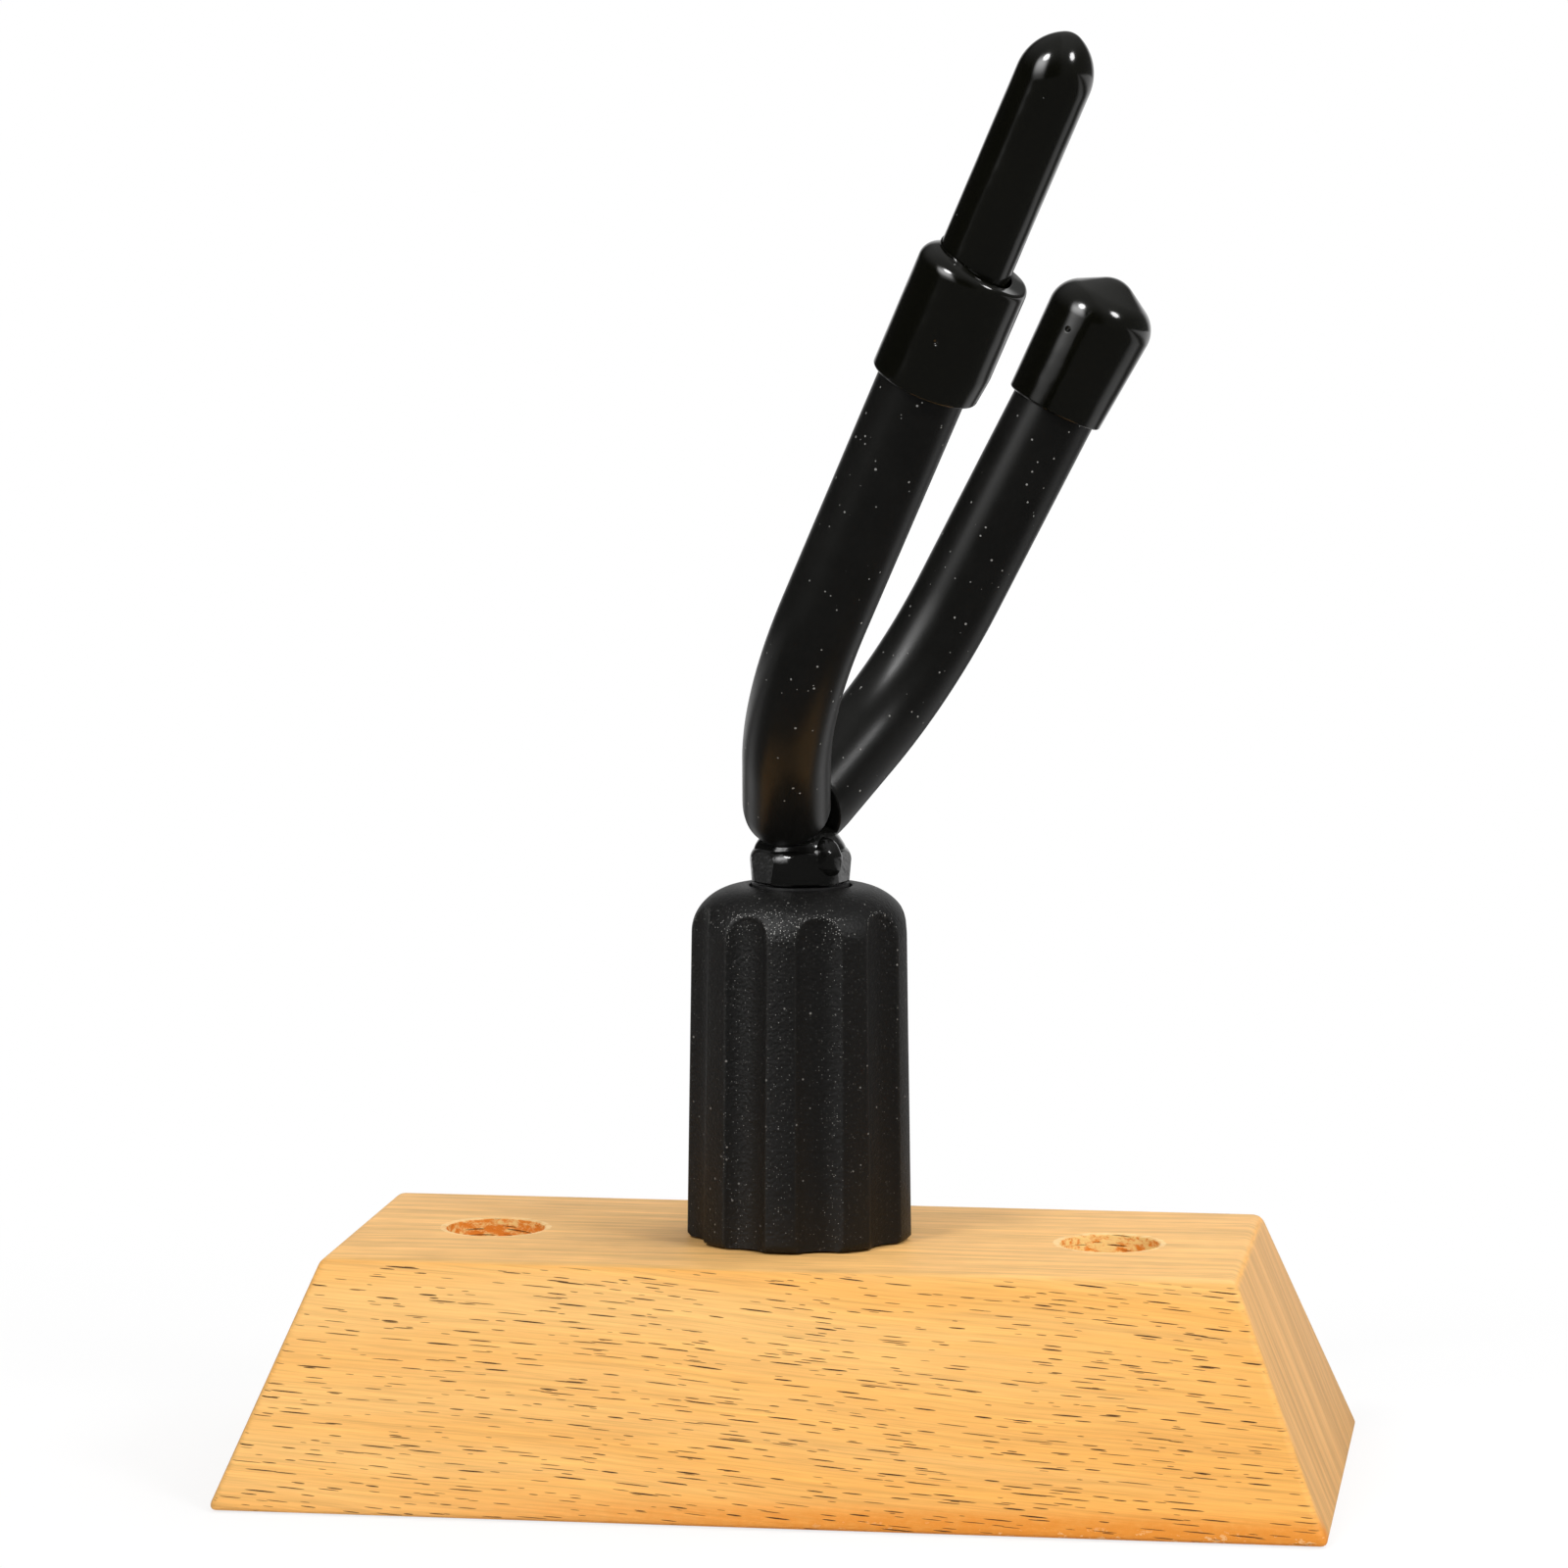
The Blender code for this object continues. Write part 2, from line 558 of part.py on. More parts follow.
def arm_frame(length):
    """(sideways, along, splay) at a distance along one arm, in the yoke's plane."""
    across = along = 0.0
    for kind, size, start, end in arm_point_steps():
        stretch = size if kind == "run" else size * (start - end)
        part = min(length, stretch)
        if kind == "run":
            across += part * sin(start)
            along += part * cos(start)
            splay = start
        else:
            splay = start - part / size
            across += size * (cos(splay) - cos(start))
            along += size * (sin(start) - sin(splay))
        length -= part
        if length <= 0:
            break
    return across, along, splay


def arm_point(length, side):
    """A point on the axis of the near or the far arm."""
    across, along, _ = arm_frame(length)
    return Vector((0, side * across, along))


def bend_marks():
    """Distances along an arm at which its path needs a point: the runs' ends and even steps in the bends."""
    marks = [0.0]
    for kind, size, start, end in arm_point_steps()[:-1]:
        stretch = size if kind == "run" else size * (start - end)
        count = 1 if kind == "run" else max(1, round((start - end) / BEND_STEP))
        first = marks[-1]
        marks += [first + stretch * (k + 1) / count for k in range(count)]
    return marks


def bent_path(side, start, end):
    marks = [start] + [m for m in bend_marks() if start + 0.2 * MM < m < end - 0.2 * MM] + [end]
    return [arm_point(m, side) for m in marks]


def tube_mesh_object(name, path, radius, collection, parent, capped, resolution=ROD_BEVEL_RESOLUTION):
    """A round tube along a path, as a mesh: a curve with a round bevel, then its caps welded on."""
    curve = bpy.data.curves.new(name, "CURVE")
    curve.dimensions = "3D"
    curve.bevel_depth = radius
    curve.bevel_resolution = resolution
    curve.use_fill_caps = capped
    spline = curve.splines.new("POLY")
    spline.points.add(len(path) - 1)
    for point, place in zip(spline.points, path):
        point.co = (*place, 1)
    carrier = bpy.data.objects.new(name, curve)
    collection.objects.link(carrier)
    carrier.parent = parent
    bpy.context.view_layer.update()
    graph = bpy.context.evaluated_depsgraph_get()
    mesh = bpy.data.meshes.new_from_object(carrier.evaluated_get(graph))
    matrix = carrier.matrix_world.copy()
    bpy.data.objects.remove(carrier, do_unlink=True)
    bpy.data.curves.remove(curve)
    shape = bmesh.new()
    shape.from_mesh(mesh)
    bmesh.ops.remove_doubles(shape, verts=shape.verts, dist=0.00001)
    bmesh.ops.recalc_face_normals(shape, faces=shape.faces)
    shape.to_mesh(mesh)
    shape.free()
    mesh.name = name
    mesh.materials.clear()
    if collection is CUTTERS:
        obj = cutter_object(name, mesh, parent)
    else:
        obj = new_object(name, mesh, collection, parent)
    obj.matrix_world = matrix
    return obj


def build_rod(plane):
    near = bent_path(NEAR, 0, NEAR_ROD_LENGTH)
    far = bent_path(FAR, 0, FAR_ROD_LENGTH)
    rod = tube_mesh_object("yoke_rod", near[::-1] + far[1:], ROD_RADIUS, PARTS, plane, capped=True)
    rod.data.materials.append(BLACK_PAINT)
    ends = rod.modifiers.new("chamfered ends", "BEVEL")
    ends.width = ROD_END_CHAMFER
    ends.segments = 1
    ends.limit_method = "ANGLE"
    ends.angle_limit = radians(60)


def build_tube(name, side, end, plane):
    """Rubber tubing over one arm: an open surface with its wall added inwards."""
    path = bent_path(side, TUBE_START, end)
    tube = tube_mesh_object(name, path, TUBE_RADIUS, PARTS, plane, False, TUBE_BEVEL_RESOLUTION)
    tube.data.materials.append(RUBBER)
    wall = tube.modifiers.new("wall", "SOLIDIFY")
    wall.thickness = TUBE_RADIUS - ROD_RADIUS - FIT_GAP
    wall.offset = -1


def arm_anchor(name, side, distance, plane):
    """An empty on one arm, with its Z along the arm, that carries a turned piece."""
    anchor = bpy.data.objects.new(name, None)
    PARTS.objects.link(anchor)
    anchor.parent = plane
    anchor.location = arm_point(distance, side)
    anchor.rotation_euler.x = -side * ARM_SPLAY
    return anchor


def crown_profile(radius, top, slope, shoulder, tip):
    """Points down a blunt cone, from its middle to its side: a rounded tip, a slope and a round shoulder."""
    points = arc_points(0, top - tip, tip, tip, pi / 2, pi / 2 - slope, 3)
    tip_edge_radius, tip_edge_z = points[-1]
    shoulder_mid = radius - shoulder
    shoulder_top_z = tip_edge_z - (shoulder_mid + shoulder * sin(slope) - tip_edge_radius) * tan(slope)
    mid_z = shoulder_top_z - shoulder * cos(slope)
    return points + arc_points(shoulder_mid, mid_z, shoulder, shoulder, pi / 2 - slope, 0, 6)


def lip_points(radius):
    """A cap's rounded mouth edge, down and in."""
    lip = CAP_LIP_RADIUS
    return arc_points(radius - lip, lip, lip, lip, 0, -pi / 2, 3)


def build_far_cap(plane):
    anchor = arm_anchor("far_cap_place", FAR, FAR_CAP_START, plane)
    inner = TUBE_RADIUS + FIT_GAP
    ceiling = CAP_LENGTH - CAP_TIP_WALL
    fillet = CAP_CAVITY_ROUNDING
    outside = crown_profile(
        CAP_SHOULDER_RADIUS, CAP_LENGTH, CAP_CROWN_SLOPE, CAP_SHOULDER_ROUNDING, CAP_TIP_ROUNDING
    )
    cavity = [(inner, 0)] + arc_points(inner - fillet, ceiling - fillet, fillet, fillet, 0, pi / 2, 4)
    profile = outside + lip_points(CAP_MOUTH_RADIUS) + cavity + [(0, ceiling)]
    turned_object("far_cap", profile, PARTS, anchor, VINYL)


def collar_top_cutter(anchor):
    """A slab over the collar's tip, leaning so that it takes more off one side."""
    shape = bmesh.new()
    size = 3 * COLLAR_RADIUS
    bmesh.ops.create_cube(shape, size=size)
    bmesh.ops.translate(shape, vec=(0, 0, size / 2), verts=shape.verts)
    lean = Matrix.Rotation(COLLAR_CUT_DROP / (2 * COLLAR_HOLE_RADIUS), 4, "Y")
    turn = Matrix.Rotation(COLLAR_CUT_DIRECTION, 4, "Z")
    place = Matrix.Translation((0, 0, COLLAR_LENGTH - COLLAR_CUT_DROP / 2))
    bmesh.ops.transform(shape, matrix=place @ turn @ lean, verts=shape.verts)
    mesh = bpy.data.meshes.new("collar_top_cutter")
    shape.to_mesh(mesh)
    shape.free()
    return cutter_object("collar_top_cutter", mesh, anchor)


def build_collar(plane):
    """A vinyl cap with its tip cut off askew, so that the bow peg passes through it."""
    anchor = arm_anchor("near_collar_place", NEAR, COLLAR_START, plane)
    inner = TUBE_RADIUS + FIT_GAP
    ceiling = COLLAR_CAVITY_LENGTH
    outside = crown_profile(
        COLLAR_RADIUS, CAP_LENGTH, CAP_CROWN_SLOPE, COLLAR_SHOULDER_ROUNDING, CAP_TIP_ROUNDING
    )
    profile = outside + lip_points(COLLAR_RADIUS) + [(inner, 0), (inner, ceiling), (0, ceiling)]
    collar = turned_object("near_collar", profile, PARTS, anchor, VINYL)
    radius = COLLAR_HOLE_RADIUS
    hole = turned_object(
        "collar_hole_cutter", [(0, CAP_LENGTH + 1 * MM), (radius, CAP_LENGTH + 1 * MM), (radius, 0), (0, 0)],
        CUTTERS, anchor,
    )
    shift = COLLAR_HOLE_SHIFT
    hole.location = (shift * cos(COLLAR_CUT_DIRECTION), shift * sin(COLLAR_CUT_DIRECTION), 0)
    add_boolean(collar, hole)
    add_boolean(collar, collar_top_cutter(anchor))


def build_sleeve(plane):
    anchor = arm_anchor("bow_peg_place", NEAR, SLEEVE_START, plane)
    length = SLEEVE_END - SLEEVE_START
    ceiling = length - SLEEVE_TIP_WALL
    inner = ROD_RADIUS + FIT_GAP
    chamfer = SLEEVE_CAVITY_CHAMFER
    profile = crown_profile(
        SLEEVE_RADIUS, length, SLEEVE_CROWN_SLOPE, SLEEVE_SHOULDER_ROUNDING, SLEEVE_TIP_ROUNDING
    )
    profile += [(SLEEVE_RADIUS, 0), (inner, 0)]
    profile += [(inner, ceiling - chamfer), (inner - chamfer, ceiling), (0, ceiling)]
    turned_object("bow_peg_sleeve", profile, PARTS, anchor, VINYL)


def build_yoke():
    pivot = bpy.data.objects.new("yoke_pivot", None)
    PARTS.objects.link(pivot)
    pivot.rotation_euler.z = YOKE_TURN
    plane = bpy.data.objects.new("yoke_plane", None)
    PARTS.objects.link(plane)
    plane.parent = pivot
    plane.location = (ROD_MID_X, 0, ROD_MID_Z)
    plane.rotation_euler.y = YOKE_TILT
    bpy.context.view_layer.update()
    build_bolt(pivot, plane)
    build_rod(plane)
    build_tube("near_tube", NEAR, NEAR_TUBE_END, plane)
    build_tube("far_tube", FAR, FAR_TUBE_END, plane)
    build_far_cap(plane)
    build_collar(plane)
    build_sleeve(plane)
    return pivot


clear_scene()
PARTS = new_collection("violin_wall_hanger")
CUTTERS = new_collection("cutters", hidden=True)
BEECH = new_material("beech", (0.86, 0.55, 0.26), 0.5)
MOULDED_BLACK = new_material("moulded black plastic", (0.012, 0.012, 0.012), 0.6)
NYLON_BLACK = new_material("black nylon", (0.01, 0.01, 0.01), 0.5)
NYLON_WHITE = new_material("white nylon", (0.75, 0.74, 0.7), 0.45)
BLACK_PAINT = new_material("black gloss paint", (0.008, 0.008, 0.009), 0.12, 0.0)
BRIGHT_STEEL = new_material("zinc plated steel", (0.62, 0.63, 0.64), 0.3, 1.0)
SPRING_STEEL = new_material("spring steel", (0.35, 0.34, 0.33), 0.35, 1.0)
RUBBER = new_material("black rubber", (0.012, 0.012, 0.012), 0.4)
VINYL = new_material("black vinyl", (0.006, 0.006, 0.006), 0.1)

build_block()
build_housing()
build_pins()
build_top_washer()
build_bush()
yoke_pivot = build_yoke()
build_swivel_stack(yoke_pivot)
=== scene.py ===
"""Looks of the violin wall hanger: beech, moulded plastic, gloss paint, rubber tubing and vinyl caps.

Run as a script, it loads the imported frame, models the pieces that show, and sets up the stage and the camera.
"""

from math import atan2, cos, exp, pi, radians, sin, sqrt, tan

import bmesh
import bpy
from bpy.props import FloatProperty, FloatVectorProperty, PointerProperty
from mathutils import Matrix, Vector


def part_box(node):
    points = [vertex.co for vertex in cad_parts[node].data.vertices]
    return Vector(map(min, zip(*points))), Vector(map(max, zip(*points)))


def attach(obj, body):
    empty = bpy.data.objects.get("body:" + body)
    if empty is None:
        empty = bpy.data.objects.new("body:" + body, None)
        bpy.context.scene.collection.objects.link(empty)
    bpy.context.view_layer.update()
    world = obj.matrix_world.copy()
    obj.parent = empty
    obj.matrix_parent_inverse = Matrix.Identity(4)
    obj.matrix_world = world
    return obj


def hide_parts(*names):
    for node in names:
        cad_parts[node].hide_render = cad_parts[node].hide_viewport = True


bl_info = {
    "name": "Violin wall hanger",
    "version": (1, 0, 0),
    "blender": (4, 5, 0),
    "location": "View3D > Sidebar > Hanger",
    "description": "Models and finishes the visible pieces of a violin wall hanger",
    "category": "Object",
}

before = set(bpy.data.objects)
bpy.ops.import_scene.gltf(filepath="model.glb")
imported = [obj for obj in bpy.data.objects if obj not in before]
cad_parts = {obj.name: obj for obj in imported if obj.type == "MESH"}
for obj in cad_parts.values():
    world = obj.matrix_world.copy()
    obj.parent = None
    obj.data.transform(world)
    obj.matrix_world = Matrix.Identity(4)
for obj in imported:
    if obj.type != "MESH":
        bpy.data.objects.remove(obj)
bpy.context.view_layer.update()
MM = 0.001

# Places on the wall block, from the frame
BLOCK_LOW, BLOCK_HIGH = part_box("base_block")
HOUSING_LOW, HOUSING_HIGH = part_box("fluted_housing")
BLOCK_TOP = BLOCK_HIGH.z
SCREW_X = 42.9 * MM
SCREW_HEAD_RADIUS = 6.8 * MM
SCREW_SHANK_RADIUS = 2.7 * MM
SCREW_SEAT_Z = 14.7 * MM

# The yoke's own frame: its plane is turned about the swivel axis and leans out from it
YOKE_TURN = radians(-17.2)
YOKE_TILT = radians(26.9)
ROD_MIDDLE = Vector((-0.8 * MM, 0, 91.85 * MM))
NEAR, FAR = -1, 1

# One arm from the rod's middle outwards: a bend at the foot, a straight leg, a bend, and a straight arm
CROWN_BEND_RADIUS = 6.7 * MM
LEG_SPLAY = radians(43.4)
LEG_RUN = 10.2 * MM
ARM_BEND_RADIUS = 38.7 * MM
ARM_SPLAY = radians(5.3)
LONGER_THAN_AN_ARM = 1.0
ARM_STEPS = (
    # kind, radius or length, splay at the start, splay at the end
    ("bend", CROWN_BEND_RADIUS, pi / 2, LEG_SPLAY),
    ("run", LEG_RUN, LEG_SPLAY, LEG_SPLAY),
    ("bend", ARM_BEND_RADIUS, LEG_SPLAY, ARM_SPLAY),
    ("run", LONGER_THAN_AN_ARM, ARM_SPLAY, ARM_SPLAY),
)
BEND_MARK_STEP = radians(2.2)
RUN_MARK_STEP = 4 * MM
TUBE_FIT_GAP = 0.2 * MM


def measure(name, description, default):
    return FloatProperty(name=name, description=description, default=default, unit="LENGTH")


def colour(name, description, default):
    return FloatVectorProperty(name=name, description=description, default=default, subtype="COLOR")


class HangerSizes(bpy.types.PropertyGroup):
    tube_radius: measure("Tube radius", "Outer radius of the rubber tubing", 6.02 * MM)
    rod_radius: measure("Rod radius", "Radius of the bent steel rod", 4 * MM)
    cap_radius: measure("Cap radius", "Radius at the shoulder of the far arm's cap", 7.48 * MM)
    collar_radius: measure("Collar radius", "Radius of the near arm's cut cap", 7.15 * MM)
    peg_radius: measure("Peg radius", "Radius of the bow peg's sleeve", 5.04 * MM)
    flute_depth: measure("Flute depth", "Depth of the housing's flutes", 1.5 * MM)


class HangerColours(bpy.types.PropertyGroup):
    beech: colour("Beech", "Colour of the oiled beech", (0.80, 0.45, 0.142))
    fleck: colour("Fleck", "Colour of the darkest flecks in the beech", (0.035, 0.012, 0.002))
    moulding: colour("Moulding", "Colour of the moulded housing", (0.0038, 0.0037, 0.0034))
    rubber: colour("Rubber", "Colour of the tubing", (0.0056, 0.0055, 0.0049))
    vinyl: colour("Vinyl", "Colour of the caps", (0.0026, 0.0026, 0.0014))
    paint: colour("Paint", "Colour of the gloss paint on the bolt and rod", (0.004, 0.004, 0.0035))


class Wire:
    """A shader socket on which arithmetic adds Math nodes."""

    def __init__(self, graph, socket):
        self.graph = graph
        self.socket = socket

    def math(self, operation, *values, clamp=False):
        node = self.graph.node("ShaderNodeMath", {"operation": operation, "use_clamp": clamp}, *values)
        return node["Value"]

    def __add__(self, other):
        return self.math("ADD", self, other)

    def __radd__(self, other):
        return self.math("ADD", other, self)

    def __sub__(self, other):
        return self.math("SUBTRACT", self, other)

    def __rsub__(self, other):
        return self.math("SUBTRACT", other, self)

    def __mul__(self, other):
        return self.math("MULTIPLY", self, other)

    def __rmul__(self, other):
        return self.math("MULTIPLY", other, self)

    def __truediv__(self, other):
        return self.math("DIVIDE", self, other)

    def __pow__(self, other):
        return self.math("POWER", self, other)

    def __gt__(self, other):
        return self.math("GREATER_THAN", self, other)

    def __lt__(self, other):
        return self.math("LESS_THAN", self, other)

    def __abs__(self):
        return self.math("ABSOLUTE", self)

    def larger(self, other):
        return self.math("MAXIMUM", self, other)

    def clamp(self):
        return self.math("ADD", self, 0.0, clamp=True)

    def ramp(self, low, high):
        """0 below low, 1 above high and smooth between, or the other way round if low is above high."""
        node = self.graph.node(
            "ShaderNodeMapRange", {"interpolation_type": "SMOOTHSTEP"},
            Value=self, From_Min=low, From_Max=high, To_Min=0.0, To_Max=1.0,
        )
        return node["Result"]


class Outputs:
    """A node's outputs by name, each as a Wire."""

    def __init__(self, graph, node):
        self.graph = graph
        self.node = node

    def __getitem__(self, name):
        return Wire(self.graph, self.node.outputs[name])


class NodeTree:
    """A material's or a world's nodes, which all come from one method."""

    def __init__(self, owner):
        self.owner = owner
        owner.use_nodes = True
        self.tree = owner.node_tree

    def node(self, kind, settings=None, *values, **named):
        """Adds a node, sets it up, and fills its sockets by order or by name, with _ for a space."""
        node = self.tree.nodes.new(kind)
        for setting, value in (settings or {}).items():
            setattr(node, setting, value)
        sockets = list(zip(node.inputs, values))
        sockets += [(node.inputs[key.replace("_", " ")], value) for key, value in named.items()]
        for socket, value in sockets:
            self.fill(socket, value)
        return Outputs(self, node)

    def fill(self, socket, value):
        if isinstance(value, Wire):
            self.tree.links.new(value.socket, socket)
        elif socket.type == "RGBA" and len(value) == 3:
            socket.default_value = (*value, 1.0)
        else:
            socket.default_value = value

    def place(self, scale=(1, 1, 1)):
        """The point on the piece in millimetres, then scaled."""
        point = self.node("ShaderNodeTexCoord")["Object"]
        point = self.node("ShaderNodeMapping", None, Vector=point, Scale=(1000, 1000, 1000))["Vector"]
        return self.node("ShaderNodeMapping", None, Vector=point, Scale=scale)["Vector"]

    def axes(self, vector):
        parts = self.node("ShaderNodeSeparateXYZ", None, vector)
        return parts["X"], parts["Y"], parts["Z"]

    def join(self, x, y, z):
        return self.node("ShaderNodeCombineXYZ", None, x, y, z)["Vector"]

    def noise(self, vector, scale=1.0, detail=2.0, rough=0.5):
        values = {"Vector": vector, "Scale": scale, "Detail": detail, "Roughness": rough}
        return self.node("ShaderNodeTexNoise", None, **values)["Fac"]

    def cells(self, vector, scale=1.0):
        """(distance to the nearest scattered point, its random colour's red, green and blue)."""
        found = self.node("ShaderNodeTexVoronoi", None, Vector=vector, Scale=scale)
        split = self.node("ShaderNodeSeparateColor", None, found["Color"])
        return found["Distance"], split["Red"], split["Green"], split["Blue"]

    def dashes(self, x, row, spacing, lean, keep, reach, thick):
        """A mask of separate thin dashes along X, scattered by cells of (length, height)."""
        long, high = spacing
        across = row / high
        leaned = x / long + across * lean
        found = self.node(
            "ShaderNodeTexVoronoi", {"voronoi_dimensions": "2D"},
            Vector=self.join(leaned, across, 0.0), Scale=1.0, Randomness=FLECK_SCATTER,
        )
        split = self.node("ShaderNodeSeparateColor", None, found["Color"])
        chance, size, shade = split["Red"], split["Green"], split["Blue"]
        middle_along, middle_across, _ = self.axes(found["Position"])
        off_across = across - middle_across
        off_along = (leaned - middle_along - off_across * lean) * long
        along = off_along / (reach[0] + size * (reach[1] - reach[0]))
        aside = off_across * high / (thick[0] + shade * (thick[1] - thick[0]))
        inside = 1.0 - along * along - aside * aside
        return inside.ramp(-0.05, 0.32) * (chance > keep) * (0.80 + shade * 0.20)

    def mix(self, factor, first, second):
        node = self.tree.nodes.new("ShaderNodeMix")
        node.data_type = "RGBA"
        for number, value in ((0, factor), (6, first), (7, second)):
            self.fill(node.inputs[number], value)
        return Wire(self, node.outputs[2])

    def tint(self, color, factor):
        """A colour times a number."""
        node = self.tree.nodes.new("ShaderNodeVectorMath")
        node.operation = "SCALE"
        self.fill(node.inputs[0], color)
        self.fill(node.inputs["Scale"], factor)
        return Wire(self, node.outputs["Vector"])

    def bump(self, height, distance, strength=1.0, under=None):
        named = {"Strength": strength, "Distance": distance, "Height": height}
        if under is not None:
            named["Normal"] = under
        return self.node("ShaderNodeBump", None, **named)["Normal"]


class Graph(NodeTree):
    """A material's nodes, with its shader's fixed values set."""

    def __init__(self, name, shader_values):
        super().__init__(bpy.data.materials.new(name))
        self.material = self.owner
        self.shader = self.tree.nodes["Principled BSDF"]
        for socket, value in shader_values.items():
            self.shader.inputs[socket].default_value = value

    def shade(self, **named):
        for key, value in named.items():
            self.fill(self.shader.inputs[key.replace("_", " ")], value)
        return self.material


def linked(name, data):
    """A new object in the scene."""
    made = bpy.data.objects.new(name, data)
    bpy.context.scene.collection.objects.link(made)
    return made


def meshed(name, shape):
    """The mesh of a bmesh, which is then done with."""
    mesh = bpy.data.meshes.new(name)
    shape.to_mesh(mesh)
    shape.free()
    return mesh


def new_piece(name, shape, material, body, slot, *nodes, smooth_below=radians(40), matrix=None):
    """Makes a piece of a bmesh, in place, riding on a body and standing for CAD nodes."""
    bmesh.ops.recalc_face_normals(shape, faces=shape.faces)
    if matrix is not None:
        bmesh.ops.transform(shape, matrix=matrix, verts=shape.verts)
    mesh = meshed(name, shape)
    mesh.materials.append(material)
    mesh.shade_smooth()
    mesh.set_sharp_from_angle(angle=smooth_below)
    piece = linked(name, mesh)
    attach(piece, body)
    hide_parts(*nodes)
    return piece


def turned_round(shape, geometry, steps):
    """Turns a section all the way about Z."""
    bmesh.ops.spin(
        shape, geom=geometry, cent=(0, 0, 0), axis=(0, 0, 1), angle=2 * pi, steps=steps, use_merge=True
    )


def spun(profile, steps):
    """A closed bmesh of (radius, height) points turned about Z, which end on the axis or are joined."""
    shape = bmesh.new()
    corners = [shape.verts.new((radius, 0, height)) for radius, height in profile]
    edges = [shape.edges.new(pair) for pair in zip(corners, corners[1:])]
    if profile[0][0] > 0:
        edges.append(shape.edges.new((corners[-1], corners[0])))
    turned_round(shape, corners + edges, steps)
    bmesh.ops.remove_doubles(shape, verts=shape.verts, dist=1e-6)
    return shape


def bevelled(shape, geometry, radius, segments):
    bmesh.ops.bevel(
        shape, geom=geometry, offset=radius, offset_type="OFFSET", segments=segments, profile=0.5,
        affect="EDGES", material=-1,
    )


def arc(center_r, center_z, half_r, half_z, start, end, count):
    """Points (radius, height) on an ellipse from one angle to another."""
    angles = [start + (end - start) * k / count for k in range(count + 1)]
    return [(center_r + half_r * cos(a), center_z + half_z * sin(a)) for a in angles]


def yoke_matrix():
    turned = Matrix.Rotation(YOKE_TURN, 4, "Z") @ Matrix.Translation(ROD_MIDDLE)
    return turned @ Matrix.Rotation(YOKE_TILT, 4, "Y")


def arm_place(distance, side):
    """The matrix, in the yoke's plane, of a point along one arm, with its Z along the arm."""
    across = along = 0.0
    for kind, size, start, end in ARM_STEPS:
        stretch = size if kind == "run" else size * (start - end)
        part = min(distance, stretch)
        if kind == "run":
            across += part * sin(start)
            along += part * cos(start)
            splay = start
        else:
            splay = start - part / size
            across += size * (cos(splay) - cos(start))
            along += size * (sin(start) - sin(splay))
        distance -= part
        if distance <= 0:
            break
    return Matrix.Translation((0, side * across, along)) @ Matrix.Rotation(-side * splay, 4, "X")


def arm_marks(start, end):
    """Distances along an arm, close together in its bends."""
    marks = [start]
    passed = 0.0
    for kind, size, first, last in ARM_STEPS:
        stretch = size if kind == "run" else size * (first - last)
        low, high = max(passed, start), min(passed + stretch, end)
        if high > low:
            step = RUN_MARK_STEP if kind == "run" else size * BEND_MARK_STEP
            count = max(1, round((high - low) / step))
            marks += [low + (high - low) * (k + 1) / count for k in range(count)]
        passed += stretch
    return marks


def extruded(shape, edges):
    """Extrudes a ring of edges, and returns the new ring's points and edges."""
    made = bmesh.ops.extrude_edge_only(shape, edges=edges)["geom"]
    verts = [item for item in made if isinstance(item, bmesh.types.BMVert)]
    return verts, [item for item in made if isinstance(item, bmesh.types.BMEdge)]


def swept(places, radius, segments):
    """A ring carried along a row of matrices: the open tube's bmesh and its two end rings of edges."""
    shape = bmesh.new()
    ring = bmesh.ops.create_circle(shape, segments=segments, radius=radius, cap_ends=False, matrix=places[0])
    edges = list({edge for vert in ring["verts"] for edge in vert.link_edges})
    first_ring = edges
    for before, after in zip(places, places[1:]):
        verts, edges = extruded(shape, edges)
        bmesh.ops.transform(shape, matrix=after @ before.inverted(), verts=verts)
    return shape, first_ring, edges


# Materials


FLECKS = (
    # length and height of the cells, their lean, share left out, half length, half thickness, depth of colour
    ((7.4, 0.88), 0.37, 0.46, (0.95, 2.6), (0.052, 0.098), 1.0),
    ((5.6, 0.72), -0.43, 0.73, (0.65, 1.7), (0.050, 0.076), 0.95),
    ((3.4, 0.55), 0.31, 0.83, (0.4, 0.95), (0.042, 0.056), 0.8),
)
FLECK_SCATTER = 0.70
GRAIN_FALL = 0.065
BACK_SLOPE_SHIFT = 11.3


def shifted(color, red, green, blue):
    """A colour whose red, green and blue are each scaled."""
    return color[0] * red, color[1] * green, color[2] * blue


